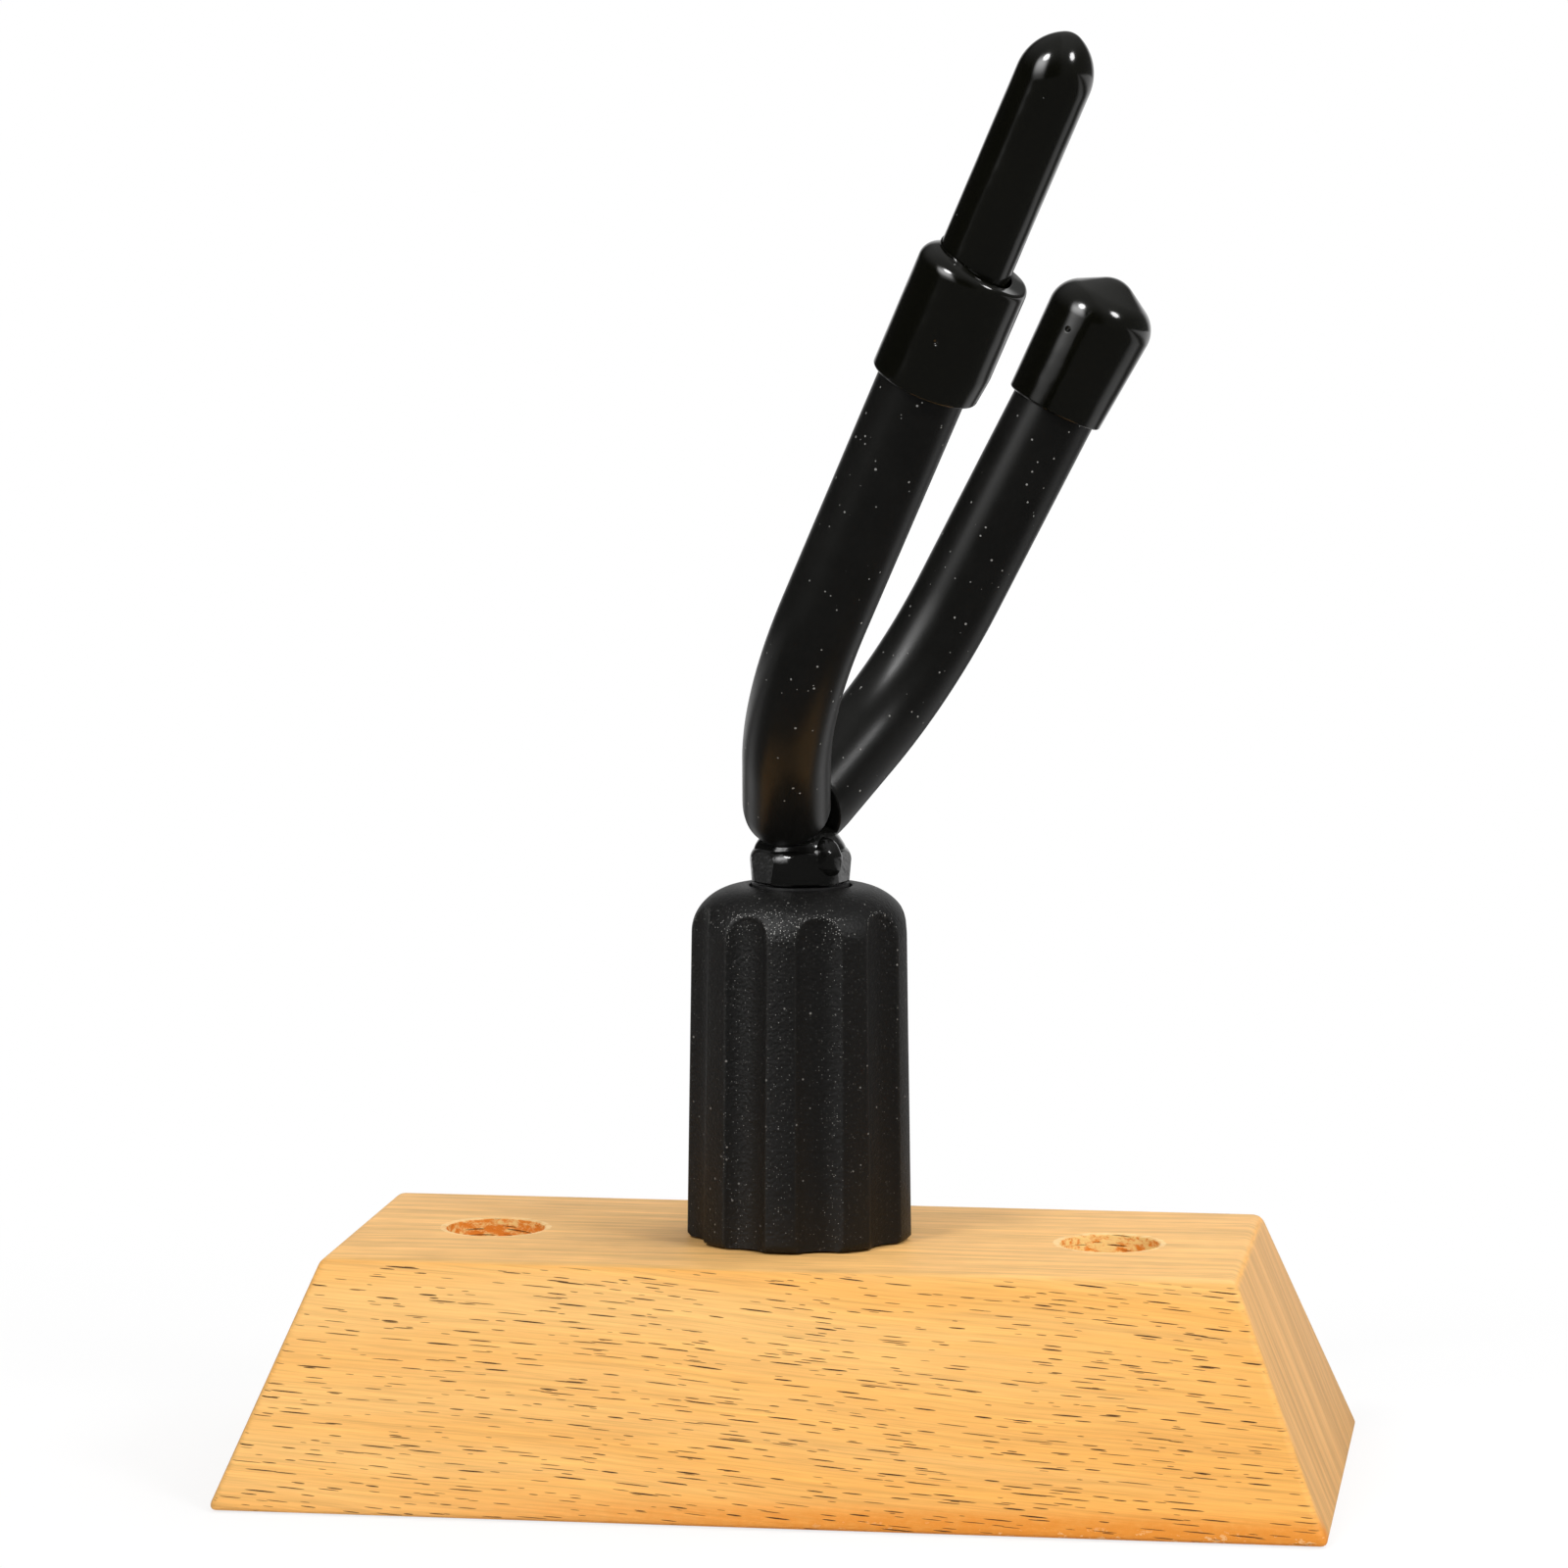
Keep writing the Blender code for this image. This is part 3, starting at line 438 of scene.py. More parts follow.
def beech_material(colours):
    """Quarter-sawn beech: rings across Y, ray flecks that show on the long slopes, and rough bored walls."""
    graph = Graph("oiled_beech", {"IOR": 1.45, "Specular IOR Level": 0.35})
    x, y, z = graph.axes(graph.place())
    nx, ny, nz = graph.axes(graph.node("ShaderNodeTexCoord")["Normal"])
    # the grain falls a little towards +X
    wander = graph.noise(graph.place(scale=(0.012, 0.03, 0.03)))
    height = z + x * GRAIN_FALL + wander * 3.0
    ring_place = graph.join(x * 0.012, y + x * 0.02 + wander * 5.0, z * 0.02)
    fine_rings = graph.noise(ring_place, 1.5, 4.0, 0.65)
    broad_rings = graph.noise(ring_place, 0.28)
    streaks = graph.noise(graph.join(x * 0.045, y * 0.4, height * 2.2), 1.0, 4.0, 0.65)
    bands = graph.noise(graph.join(x * 0.008, y * 0.1, height * 0.35), 1.0, 3.0, 0.6)
    # flecks, as scattered flat lenses along the grain, on the two long slopes
    on_slope = (abs(ny) - 0.55).ramp(0.0, 0.3)
    mask = None
    for spacing, lean, keep, reach, thick, depth in FLECKS:
        row = height + (y > 0) * BACK_SLOPE_SHIFT + spacing[0] * 7.0
        flecks = graph.dashes(x, row, spacing, lean, keep, reach, thick) * depth
        mask = flecks if mask is None else mask.larger(flecks)
    mask = mask * on_slope
    # bored walls
    bore, front = SCREW_HEAD_RADIUS / MM, BLOCK_TOP / MM
    side = abs(x) - SCREW_X / MM
    from_axis = (side * side + y * y) ** 0.5
    bored = (from_axis < bore + 0.15) * (z < front - 0.12)
    chips = graph.noise(graph.place(scale=(0.5, 0.9, 1.2)), 1.1, 4.0, 0.7)
    # colour
    base = colours.beech
    fine_lines = graph.noise(graph.join(x * 0.10, y * 0.6, height * 5.0), 1.0, 3.0, 0.6)
    tone = 0.22 + fine_rings * 0.22 + streaks * 0.68 + bands * 0.22 + fine_lines * 0.50
    orange = shifted(base, 0.97, 0.82, 0.55)
    color = graph.mix(broad_rings.ramp(0.35, 0.68) * 0.8, base, orange)
    color = graph.mix((x / 160.0 - z / 70.0 + bands).ramp(0.0, 0.9) * 0.85, color, orange)
    color = graph.tint(color, tone)
    on_top = nz.ramp(0.75, 0.95)
    top_lines = graph.noise(graph.join(x * 0.025, y * 0.55 + wander * 3.0, 0.0), 1.0, 4.0, 0.75)
    top_clouds = graph.noise(graph.join(x * 0.10, y * 0.12, 0.0), 1.0, 3.0, 0.6)
    top_tone = 0.21 + top_lines * 1.26 + top_clouds * 0.30
    color = graph.mix(on_top, color, graph.tint(shifted(base, 0.98, 1, 1.10), top_tone))
    end_grain = abs(nx).ramp(0.6, 0.9)
    end_lines = graph.noise(graph.join(x * 0.02, y * 0.42 + wander * 2.0, z * 0.02), 1.0, 4.0, 0.75)
    end_color = graph.tint(shifted(base, 0.89, 0.88, 1.02), 0.34 + end_lines * 1.16)
    color = graph.mix(end_grain, color, end_color)
    # the lower front edge, darkened by the sander, with chips to the right
    low_front = z.ramp(4.6, 1.2) * y.ramp(-33.0, -36.5) * x.ramp(-70.0, 30.0)
    warm = (low_front * (0.35 + chips * 1.3)).clamp()
    color = graph.mix(warm * 0.9, color, shifted(base, 0.86, 0.52, 0.13))
    chipped = (chips > 0.60) * z.ramp(2.2, 0.6) * y.ramp(-35.0, -37.5) * x.ramp(-20.0, 40.0)
    color = graph.mix(chipped * 0.7, color, shifted(base, 1, 1.1, 1.6))
    wall_low, wall_high = shifted(base, 1.02, 0.58, 0.20), shifted(base, 1.20, 1.50, 1.8)
    # rough torn fibres on the bored walls, with the right hole's walls painted lighter, as if more lit
    torn_fibres_and_painted_light = (chips + (x > 0) * 0.08).ramp(0.44, 0.64)
    color = graph.mix(bored, color, graph.mix(torn_fibres_and_painted_light, wall_low, wall_high))
    round_hole = (from_axis < bore + 0.45 + chips * 0.9) * (from_axis > bore - 0.1) * (z > front - 0.15)
    torn = round_hole * chips.ramp(0.35, 0.6)
    color = graph.mix(torn * 0.6, color, shifted(base, 1.15, 1.5, 2.4))
    color = graph.mix(mask, color, colours.fleck)
    # surface
    rough = 0.50 + streaks * 0.12 + mask * 0.2 + bored * 0.25
    pores = graph.noise(graph.join(x * 0.22, y * 3.0, height * 3.0))
    normal = graph.bump(pores * 0.5 + fine_rings * 0.5 - mask * 1.6, 0.03 * MM, 0.6)
    normal = graph.bump(chips * bored, 0.3 * MM, 0.7, under=normal)
    return graph.shade(Base_Color=color, Roughness=rough, Normal=normal)


def dust(graph, keep, reach, scale):
    """A mask of a few small dust specks."""
    distance, chance, size, _ = graph.cells(graph.place(), scale)
    return (distance - size * reach).ramp(0.03, -0.03) * (chance > keep)


# where the lamp stands, which the painted sparkle faces, and between which heights in millimetres the flutes'
# arches begin and end
TO_LAMP = (-0.117, -0.873, 0.473)
ARCHES_BEGIN, ARCHES_END = (74.5, 76.5), (80.6, 78.6)


def moulding_material(colours):
    """Spark-eroded moulded plastic: a fine hard grain with painted glints, painted highlights along the flutes'
    edges, and a little dust.
    """
    graph = Graph("eroded_moulding", {"IOR": 1.5, "Specular IOR Level": 0.27})
    grain = graph.noise(graph.place(), 2.4, 3.0, 0.65)
    pits, _, _, _ = graph.cells(graph.place(), 2.0)
    patches = graph.noise(graph.place(), 0.08, 3.0, 0.5)
    specks = dust(graph, 0.84, 0.20, 1.2)
    glint_distance, glint_chance, glint_size, _ = graph.cells(graph.place(), 2.7)
    painted_glints = (glint_distance - glint_size * 0.42).ramp(0.06, -0.06) * (glint_chance > 0.55)
    edge_highlight = graph.node("ShaderNodeAttribute", {"attribute_name": "edge"})["Fac"]
    # painted sparkle: light specks painted into the colour where the surface leans towards the lamp, most of
    # all at the flutes' arches
    nx, ny, nz = graph.axes(graph.node("ShaderNodeTexCoord")["Normal"])
    lit = (nx * TO_LAMP[0] + ny * TO_LAMP[1] + nz * TO_LAMP[2]).ramp(0.74, 0.99)
    _, _, z = graph.axes(graph.place())
    rim = z.ramp(*ARCHES_BEGIN) * z.ramp(*ARCHES_END)
    sparkle_distance, sparkle_chance, _, sparkle_shade = graph.cells(graph.place(), 4.8)
    often = 0.975 - lit * (0.13 + rim * 0.24) - edge_highlight * rim * 0.5
    painted_sparkle = (0.33 - sparkle_distance).ramp(0.0, 0.12) * (sparkle_chance > often) * (0.2 + sparkle_shade * 0.8)
    # painted highlights: the glints and the flutes' edges are made lighter in the colour
    color = graph.tint(colours.moulding, 0.6 + grain * 0.6 + patches * 0.4 + edge_highlight * 0.9 + painted_glints * 3.5)
    color = graph.mix(specks * 0.45, color, (0.35, 0.34, 0.32))
    color = graph.mix(painted_sparkle * (0.22 + lit * 0.35 + rim * 0.40), color, (0.72, 0.71, 0.68))
    rough = 0.40 + grain * 0.16 + specks * 0.3
    normal = graph.bump(grain + pits * 0.4 + specks * 0.3, 0.12 * MM, 0.8)
    return graph.shade(Base_Color=color, Roughness=rough, Normal=normal)


def rubber_material(colours):
    """Extruded rubber tubing: satin and mottled, with a fine grain and a little dust."""
    graph = Graph("satin_rubber", {"IOR": 1.5, "Specular IOR Level": 0.22})
    specks = dust(graph, 0.88, 0.24, 1.4)
    mottle = graph.noise(graph.place(), 0.22, 4.0, 0.6)
    fine = graph.noise(graph.place(), 3.0)
    color = graph.mix(specks * 0.6, graph.tint(colours.rubber, 0.7 + mottle * 0.6), (0.4, 0.4, 0.38))
    rough = 0.26 + mottle * 0.12 + specks * 0.3
    normal = graph.bump(fine * 0.4 + specks * 1.5, 0.03 * MM, 0.5)
    return graph.shade(Base_Color=color, Roughness=rough, Normal=normal)


# middles and radius of two small pits left by bubbles in the vinyl, in millimetres
VINYL_PITS = ((35.66, 8.56, 157.64), (23.37, -41.99, 157.48))
VINYL_PIT_RADIUS = 0.5


def vinyl_material(colours):
    """Dip-moulded vinyl: wet-looking gloss over a faintly uneven skin, with two small pits."""
    graph = Graph("gloss_vinyl", {"IOR": 1.5})
    swell = graph.noise(graph.place(), 0.12)
    specks = dust(graph, 0.90, 0.10, 0.5)
    color = graph.mix(specks * 0.5, graph.tint(colours.vinyl, 0.8 + swell * 0.4), (0.35, 0.35, 0.34))
    rough = 0.10 + swell * 0.06 + specks * 0.3
    normal = graph.bump(swell + specks * 0.05, 0.5 * MM, 0.35)
    dents = 0.0
    for place in VINYL_PITS:
        offset = graph.node("ShaderNodeVectorMath", {"operation": "DISTANCE"}, graph.place(), place)["Value"]
        dents = dents + offset.ramp(VINYL_PIT_RADIUS, 0.0)
    normal = graph.bump(1 - dents, 0.3 * MM, 1.0, under=normal)
    return graph.shade(Base_Color=color, Roughness=rough, Normal=normal)


def paint_material(colours):
    """Thick gloss paint with orange peel."""
    graph = Graph("gloss_black_paint", {"IOR": 1.5})
    peel = graph.noise(graph.place(), 0.9)
    specks = dust(graph, 0.9, 0.12, 0.6)
    color = graph.mix(specks * 0.6, graph.tint(colours.paint, 0.8 + peel * 0.4), (0.4, 0.4, 0.38))
    rough = 0.12 + peel * 0.05 + specks * 0.3
    normal = graph.bump(peel + specks * 0.2, 0.12 * MM, 0.5)
    return graph.shade(Base_Color=color, Roughness=rough, Normal=normal)


def plate_material():
    """Bright zinc plate with a faint spangle and turning lines."""
    graph = Graph("zinc_plate", {"Metallic": 1.0})
    cloud = graph.noise(graph.place(), 0.5, 4.0, 0.6)
    lines = graph.noise(graph.place(scale=(1, 1, 8)), 1.2, 3.0, 0.6)
    color = graph.mix(cloud, (0.70, 0.72, 0.74), (0.58, 0.60, 0.58))
    rough = 0.24 + cloud * 0.16 + lines * 0.05
    return graph.shade(Base_Color=color, Roughness=rough, Normal=graph.bump(lines, 0.01 * MM, 0.6))


def spring_material():
    """Oiled spring steel with a patchy brown tint."""
    graph = Graph("spring_steel", {"Metallic": 1.0})
    cloud = graph.noise(graph.place(), 0.6, 4.0, 0.6)
    color = graph.mix(cloud, (0.42, 0.41, 0.39), (0.30, 0.26, 0.21))
    normal = graph.bump(cloud, 0.01 * MM, 0.5)
    return graph.shade(Base_Color=color, Roughness=0.28 + cloud * 0.2, Normal=normal)


def nylon_material(name, color):
    """Plain moulded nylon, a little cloudy."""
    graph = Graph(name, {"IOR": 1.52})
    cloud = graph.noise(graph.place(), 0.4, 4.0, 0.6)
    fine = graph.noise(graph.place(), 3.0)
    tinted = graph.tint(color, 0.9 + cloud * 0.15)
    normal = graph.bump(fine, 0.03 * MM, 0.5)
    return graph.shade(Base_Color=tinted, Roughness=0.42 + cloud * 0.12, Normal=normal)


# Block and housing


def cut_with(piece, cutter_shape, operation="DIFFERENCE"):
    """Runs a Boolean on a piece and bakes it into its mesh."""
    bmesh.ops.recalc_face_normals(cutter_shape, faces=cutter_shape.faces)
    mesh = meshed("cutter", cutter_shape)
    cutter = linked("cutter", mesh)
    modifier = piece.modifiers.new("cut", "BOOLEAN")
    modifier.operation = operation
    modifier.solver = "EXACT"
    modifier.object = cutter
    bpy.context.view_layer.update()
    graph = bpy.context.evaluated_depsgraph_get()
    result = bpy.data.meshes.new_from_object(piece.evaluated_get(graph))
    piece.modifiers.clear()
    piece.data = result
    bpy.data.objects.remove(cutter, do_unlink=True)
    bpy.data.meshes.remove(mesh)


BLOCK_END_SLOPE = 13.3 * MM
BLOCK_SIDE_SLOPE = 12.5 * MM
BLOCK_EDGE_RADIUS = 1.2 * MM
RECESS_RADIUS = 12 * MM
RECESS_DEPTH = 13 * MM
BUSH_HOLE_RADIUS = 6 * MM
# The bevel trims a little off the sharp corners, so the sharp block is larger than its box in the frame
BLOCK_LENGTH = 150.8 * MM
BLOCK_WIDTH = 76.8 * MM
BLOCK_SMOOTH_BELOW = radians(25)
COUNTERBORE_CHAMFER = 0.35 * MM
HOLE_STEPS = 72
PAST = 2 * MM


def block_shape():
    """A truncated pyramid with rounded edges."""
    shape = bmesh.new()
    bmesh.ops.create_cube(shape, size=1)
    bmesh.ops.scale(shape, vec=(BLOCK_LENGTH, BLOCK_WIDTH, BLOCK_TOP), verts=shape.verts)
    bmesh.ops.translate(shape, vec=(0, 0, BLOCK_TOP / 2), verts=shape.verts)
    front = [vert for vert in shape.verts if vert.co.z > BLOCK_TOP / 2]
    narrowing = (1 - 2 * BLOCK_END_SLOPE / BLOCK_LENGTH, 1 - 2 * BLOCK_SIDE_SLOPE / BLOCK_WIDTH, 1)
    bmesh.ops.scale(shape, vec=narrowing, verts=front)
    bevelled(shape, shape.edges[:] + shape.verts[:], BLOCK_EDGE_RADIUS, 5)
    return shape


def counterbore_shape(sign):
    """What a drill takes out for a screw: the shank's hole, the head's bore and its broken edge."""
    shape = spun([
        (0, BLOCK_TOP + PAST),
        (SCREW_HEAD_RADIUS + COUNTERBORE_CHAMFER + PAST, BLOCK_TOP + PAST),
        (SCREW_HEAD_RADIUS + COUNTERBORE_CHAMFER, BLOCK_TOP),
        (SCREW_HEAD_RADIUS + 0.1 * MM, BLOCK_TOP - 0.12 * MM),
        (SCREW_HEAD_RADIUS, BLOCK_TOP - COUNTERBORE_CHAMFER),
        (SCREW_HEAD_RADIUS, SCREW_SEAT_Z),
        (SCREW_SHANK_RADIUS, SCREW_SEAT_Z),
        (SCREW_SHANK_RADIUS, -PAST),
        (0, -PAST),
    ], HOLE_STEPS)
    bmesh.ops.translate(shape, vec=(sign * SCREW_X, 0, 0), verts=shape.verts)
    return shape


def recess_shape():
    """What a cutter takes out in the middle: the bush's hole and the nut's recess in the back."""
    return spun([
        (0, BLOCK_TOP + PAST),
        (BUSH_HOLE_RADIUS, BLOCK_TOP + PAST),
        (BUSH_HOLE_RADIUS, RECESS_DEPTH),
        (RECESS_RADIUS, RECESS_DEPTH),
        (RECESS_RADIUS, 0.3 * MM),
        (RECESS_RADIUS + 2.3 * MM, -PAST),
        (0, -PAST),
    ], HOLE_STEPS)


FLUTE_COUNT = 9
FLUTE_FIRST_ANGLE = radians(-72.3)
FLUTE_CUTTER_RADIUS = 5.3 * MM
FLUTE_ARCH_Z = 79.0 * MM
FLUTE_ARCH_RISE = 1.5 * MM
FLUTE_EDGE_SOFTNESS = 0.03 * MM
FLUTE_EDGE_REACH = 0.2 * MM
FOOT_RADIUS = 15.65 * MM
SHOULDER_RADIUS = 15.0 * MM
SHOULDER_Z = 75.1 * MM
CROWN_RADIUS = 7.4 * MM
GROOVE_DEPTH = 0.9 * MM
FOOT_CHAMFER = 0.35 * MM
INNER_FOOT_RADIUS = 13.1 * MM
INNER_TOP_RADIUS = 12.3 * MM
HOUSING_TOP_THICKNESS = 6 * MM
BOLT_BORE_RADIUS = 4.1 * MM
CROWN_STEPS = 26
WALL_STEPS = 60
HOUSING_STEPS = 540


def radius_at(height):
    """The drafted wall's radius."""
    share = max(0.0, SHOULDER_Z - height) / (SHOULDER_Z - HOUSING_LOW.z)
    return SHOULDER_RADIUS + (FOOT_RADIUS - SHOULDER_RADIUS) * share


def housing_profile():
    """The outer wall in fine steps, from the groove round the bolt to the foot, then up the inside."""
    top, foot = HOUSING_HIGH.z, HOUSING_LOW.z
    width, rise = SHOULDER_RADIUS - CROWN_RADIUS, top - SHOULDER_Z
    crown = arc(CROWN_RADIUS, SHOULDER_Z, width, rise, pi / 2, 0, CROWN_STEPS)
    low = foot + FOOT_CHAMFER
    heights = [SHOULDER_Z + (low - SHOULDER_Z) * k / WALL_STEPS for k in range(1, WALL_STEPS + 1)]
    wall = [(radius_at(height), height) for height in heights]
    lip = [(CROWN_RADIUS - 0.3 * MM, top - GROOVE_DEPTH), (CROWN_RADIUS - 0.25 * MM, top - 0.1 * MM)]
    ceiling = top - HOUSING_TOP_THICKNESS
    inside = [
        (FOOT_RADIUS - FOOT_CHAMFER, foot), (INNER_FOOT_RADIUS, foot), (INNER_TOP_RADIUS, ceiling),
        (BOLT_BORE_RADIUS, ceiling), (BOLT_BORE_RADIUS, top - GROOVE_DEPTH),
    ]
    return lip + crown + wall + inside


def fluted(vert, depth, edge):
    """Draws a point of the outer wall in to the nearest flute, and marks how near the flute's edge is, where a
    highlight is painted.
    """
    radius, angle = vert.co.to_2d().length, atan2(vert.co.y, vert.co.x)
    pitch = 2 * pi / FLUTE_COUNT
    off = (angle - FLUTE_FIRST_ANGLE + pitch / 2) % pitch - pitch / 2
    reach = radius_at(vert.co.z) - depth + FLUTE_CUTTER_RADIUS
    rise = max(0.0, vert.co.z - (FLUTE_ARCH_Z - FLUTE_ARCH_RISE))
    inside = FLUTE_CUTTER_RADIUS**2 - rise**2 - (reach * sin(off)) ** 2
    if inside <= 0:
        return
    wanted = reach * cos(off) - sqrt(inside)
    gap = wanted - radius
    vert[edge] = exp(-((gap / FLUTE_EDGE_REACH) ** 2))
    drawn = radius + (gap - sqrt(gap * gap + FLUTE_EDGE_SOFTNESS**2)) / 2
    vert.co.x *= drawn / radius
    vert.co.y *= drawn / radius


class HANGER_OT_block(bpy.types.Operator):
    """Model the beech wall block with its screw holes and the recess in its back"""

    bl_idname = "hanger.block"
    bl_label = "Wall block"

    def execute(self, context):
        beech = beech_material(context.scene.hanger_colours)
        block = new_piece("beech_block", block_shape(), beech, "wall_base", "beech", "base_block")
        for sign in (-1, 1):
            cut_with(block, counterbore_shape(sign))
        cut_with(block, recess_shape())
        block.data.set_sharp_from_angle(angle=BLOCK_SMOOTH_BELOW)
        return {"FINISHED"}


class HANGER_OT_housing(bpy.types.Operator):
    """Model the fluted housing that carries the swivel"""

    bl_idname = "hanger.housing"
    bl_label = "Fluted housing"

    def execute(self, context):
        shape = spun(housing_profile(), HOUSING_STEPS)
        edge = shape.verts.layers.float.new("edge")
        for vert in shape.verts:
            if vert.co.to_2d().length > INNER_FOOT_RADIUS + 0.1 * MM and vert.co.z < FLUTE_ARCH_Z + 2 * MM:
                fluted(vert, context.scene.hanger_sizes.flute_depth, edge)
        new_piece(
            "housing_shell", shape, moulding_material(context.scene.hanger_colours), "wall_base",
            "moulded black plastic", "fluted_housing", smooth_below=radians(50),
        )
        return {"FINISHED"}


class HANGER_OT_fixings(bpy.types.Operator):
    """Finish the washers, nut, bush and pins of the swivel, whose shapes are the frame's own"""

    bl_idname = "hanger.fixings"
    bl_label = "Swivel fixings"

    def execute(self, context):
        plate, spring = plate_material(), spring_material()
        white = nylon_material("white_nylon", (0.72, 0.70, 0.64))
        black = nylon_material("black_nylon", (0.012, 0.012, 0.012))
        finishes = (
            (plate, ("locating_pin_left", "locating_pin_right", "seat_plate", "nut_washer", "lock_nut")),
            (spring, ("wave_washer",)),
            (white, ("block_bush", "lock_ring")),
            (black, ("top_washer",)),
        )
        for material, names in finishes:
            for name in names:
                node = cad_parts[name]
                node.data.materials.clear()
                node.data.materials.append(material)
        return {"FINISHED"}


# Yoke


BOLT_HEAD_LOW = 82.1 * MM
BOLT_HEAD_HIGH = 87.0 * MM
BOLT_HEAD_ANGLE = radians(2)
HEX_ACROSS_FLATS = 13 * MM
HEX_TOP_RADIUS = 5.5 * MM
HEX_CORNER_RADIUS = 6.98 * MM
HEX_TOP_ROUNDING = 1.9 * MM
HEX_EDGE_ROUNDING = 0.22 * MM
SHANK_RADIUS = 4 * MM
SHANK_TIP_RADIUS = 3.2 * MM
SHANK_LOW = 1.6 * MM
NEAR_TUBE_START = 3.7 * MM
FAR_TUBE_START = 2.4 * MM
NEAR_TUBE_END = 90.4 * MM
FAR_TUBE_END = 84.4 * MM
NEAR_ROD_LENGTH = 122.7 * MM
FAR_ROD_LENGTH = 86.4 * MM
ROD_SEAT_GAP = 0.05 * MM
SEAT_REACH = 20 * MM
ROD_SEGMENTS = 48
TUBE_SEGMENTS = 72
WELDS = (
    (Vector((0, 0, 86.2)) * MM, Vector((6.3, 6.3, 4.2)) * MM),
    (Vector((4.4, -2.2, 85.5)) * MM, Vector((2.7, 2.6, 3.1)) * MM),
)
FAR_CAP_START = 70.4 * MM
CAP_LENGTH = 19.8 * MM
CAP_MOUTH_RADIUS = 6.9 * MM
COLLAR_START = 76.5 * MM
COLLAR_LENGTH = 18.9 * MM
COLLAR_HOLE_RADIUS = 5.28 * MM
COLLAR_HOLE_SHIFT = 0.12 * MM
COLLAR_CAVITY_LENGTH = 14.5 * MM
COLLAR_CUT_DROP = 2.0 * MM
COLLAR_CUT_DIRECTION = radians(15)
COLLAR_BULGE = 0.75 * MM
COLLAR_STRETCH = 0.8 * MM
COLLAR_SHOULDER_ROUNDING = 2.1 * MM
COLLAR_RIM_ROUNDING = 0.34 * MM
COLLAR_STRAIGHT_LENGTH = 12.5 * MM
COLLAR_STEPS = 160
CAP_SLOPE = radians(30)
CAP_SHOULDER_ROUNDING = 4.5 * MM
CAP_TIP_ROUNDING = 4.2 * MM
CAP_TOP_THICKNESS = 2.9 * MM
CAP_INNER_ROUNDING = 2.8 * MM
CAP_LIP_ROUNDING = 0.35 * MM
CAP_STEPS = 144
SLEEVE_START = 91.6 * MM
SLEEVE_END = 127.1 * MM
SLEEVE_SLOPE = radians(28)
SLEEVE_SHOULDER_ROUNDING = 7 * MM
SLEEVE_TIP_ROUNDING = 2.6 * MM
SLEEVE_TOP_THICKNESS = 3.6 * MM
SLEEVE_INNER_CHAMFER = 0.8 * MM
SLEEVE_MOUTH_CHAMFER = 0.2 * MM


def hexagon_head():
    """The bolt's head as a hexagonal prism, whose corners the turned blank then rounds."""
    shape = bmesh.new()
    radius = HEX_ACROSS_FLATS / sqrt(3)
    middle = Matrix.Translation((0, 0, (BOLT_HEAD_LOW + BOLT_HEAD_HIGH) / 2))
    bmesh.ops.create_cone(
        shape, cap_ends=True, segments=6, radius1=radius, radius2=radius,
        depth=BOLT_HEAD_HIGH - BOLT_HEAD_LOW, matrix=middle @ Matrix.Rotation(BOLT_HEAD_ANGLE, 4, "Z"),
    )
    bevelled(shape, shape.edges[:], HEX_EDGE_ROUNDING, 3)
    return shape


def head_barrel():
    """The turned blank that rounds the hexagon's corners and its top edge."""
    width, rise = HEX_CORNER_RADIUS - HEX_TOP_RADIUS, HEX_TOP_ROUNDING
    rim = arc(HEX_TOP_RADIUS, BOLT_HEAD_HIGH - rise, width, rise, pi / 2, 0, 14)
    foot = HEX_CORNER_RADIUS - 0.25 * MM
    below = BOLT_HEAD_LOW - 3 * MM
    return spun([(0, BOLT_HEAD_HIGH), *rim, (foot, BOLT_HEAD_LOW), (foot, below), (0, below)], 120)


def weld_shape(middle, size):
    """A flattened bead of weld with ripples."""
    shape = bmesh.new()
    bmesh.ops.create_uvsphere(shape, u_segments=96, v_segments=48, radius=1)
    for vert in shape.verts:
        angle = atan2(vert.co.y, vert.co.x)
        rise = vert.co.z
        vert.co *= 1 + 0.012 * sin(7 * angle + 1.3) * (1 - rise * rise) + 0.012 * sin(9 * rise + 2 * angle)
    bmesh.ops.scale(shape, vec=size, verts=shape.verts)
    bmesh.ops.translate(shape, vec=middle, verts=shape.verts)
    return shape


def blunt_cone(radius, top, slope, shoulder, tip, fine=12):
    """Points down a blunt cone, from its middle to its side: a rounded tip, a slope and a round shoulder."""
    points = arc(0, top - tip, tip, tip, pi / 2, pi / 2 - slope, fine)
    edge_r, edge_z = points[-1]
    mid_r = radius - shoulder
    mid_z = edge_z - (mid_r + shoulder * sin(slope) - edge_r) * tan(slope) - shoulder * cos(slope)
    return points + arc(mid_r, mid_z, shoulder, shoulder, pi / 2 - slope, 0, 2 * fine)


def tube_shape(side, start, end, radius, wall):
    """Tubing with a wall and softly rounded ends."""
    places = [arm_place(mark, side) for mark in arm_marks(start, end)]
    shape, first, last = swept(places, radius, TUBE_SEGMENTS)
    # over the rounded end into the bore: how much the ring shrinks, and how far out it lies
    steps = ((0.12, 0.10), (0.35, 0.14), (wall / MM - 0.1, 0.10), (wall / MM, -0.1), (wall / MM, -8.0))
    for edges, place, outward in ((first, places[0], -1), (last, places[-1], 1)):
        for shrink, rise in steps:
            verts, edges = extruded(shape, edges)
            scale = (radius - shrink * MM) / radius
            for vert in verts:
                local = place.inverted() @ vert.co
                flat = Vector((local.x, local.y, 0)).normalized() * radius * scale
                vert.co = place @ Vector((flat.x, flat.y, outward * rise * MM))
    return shape


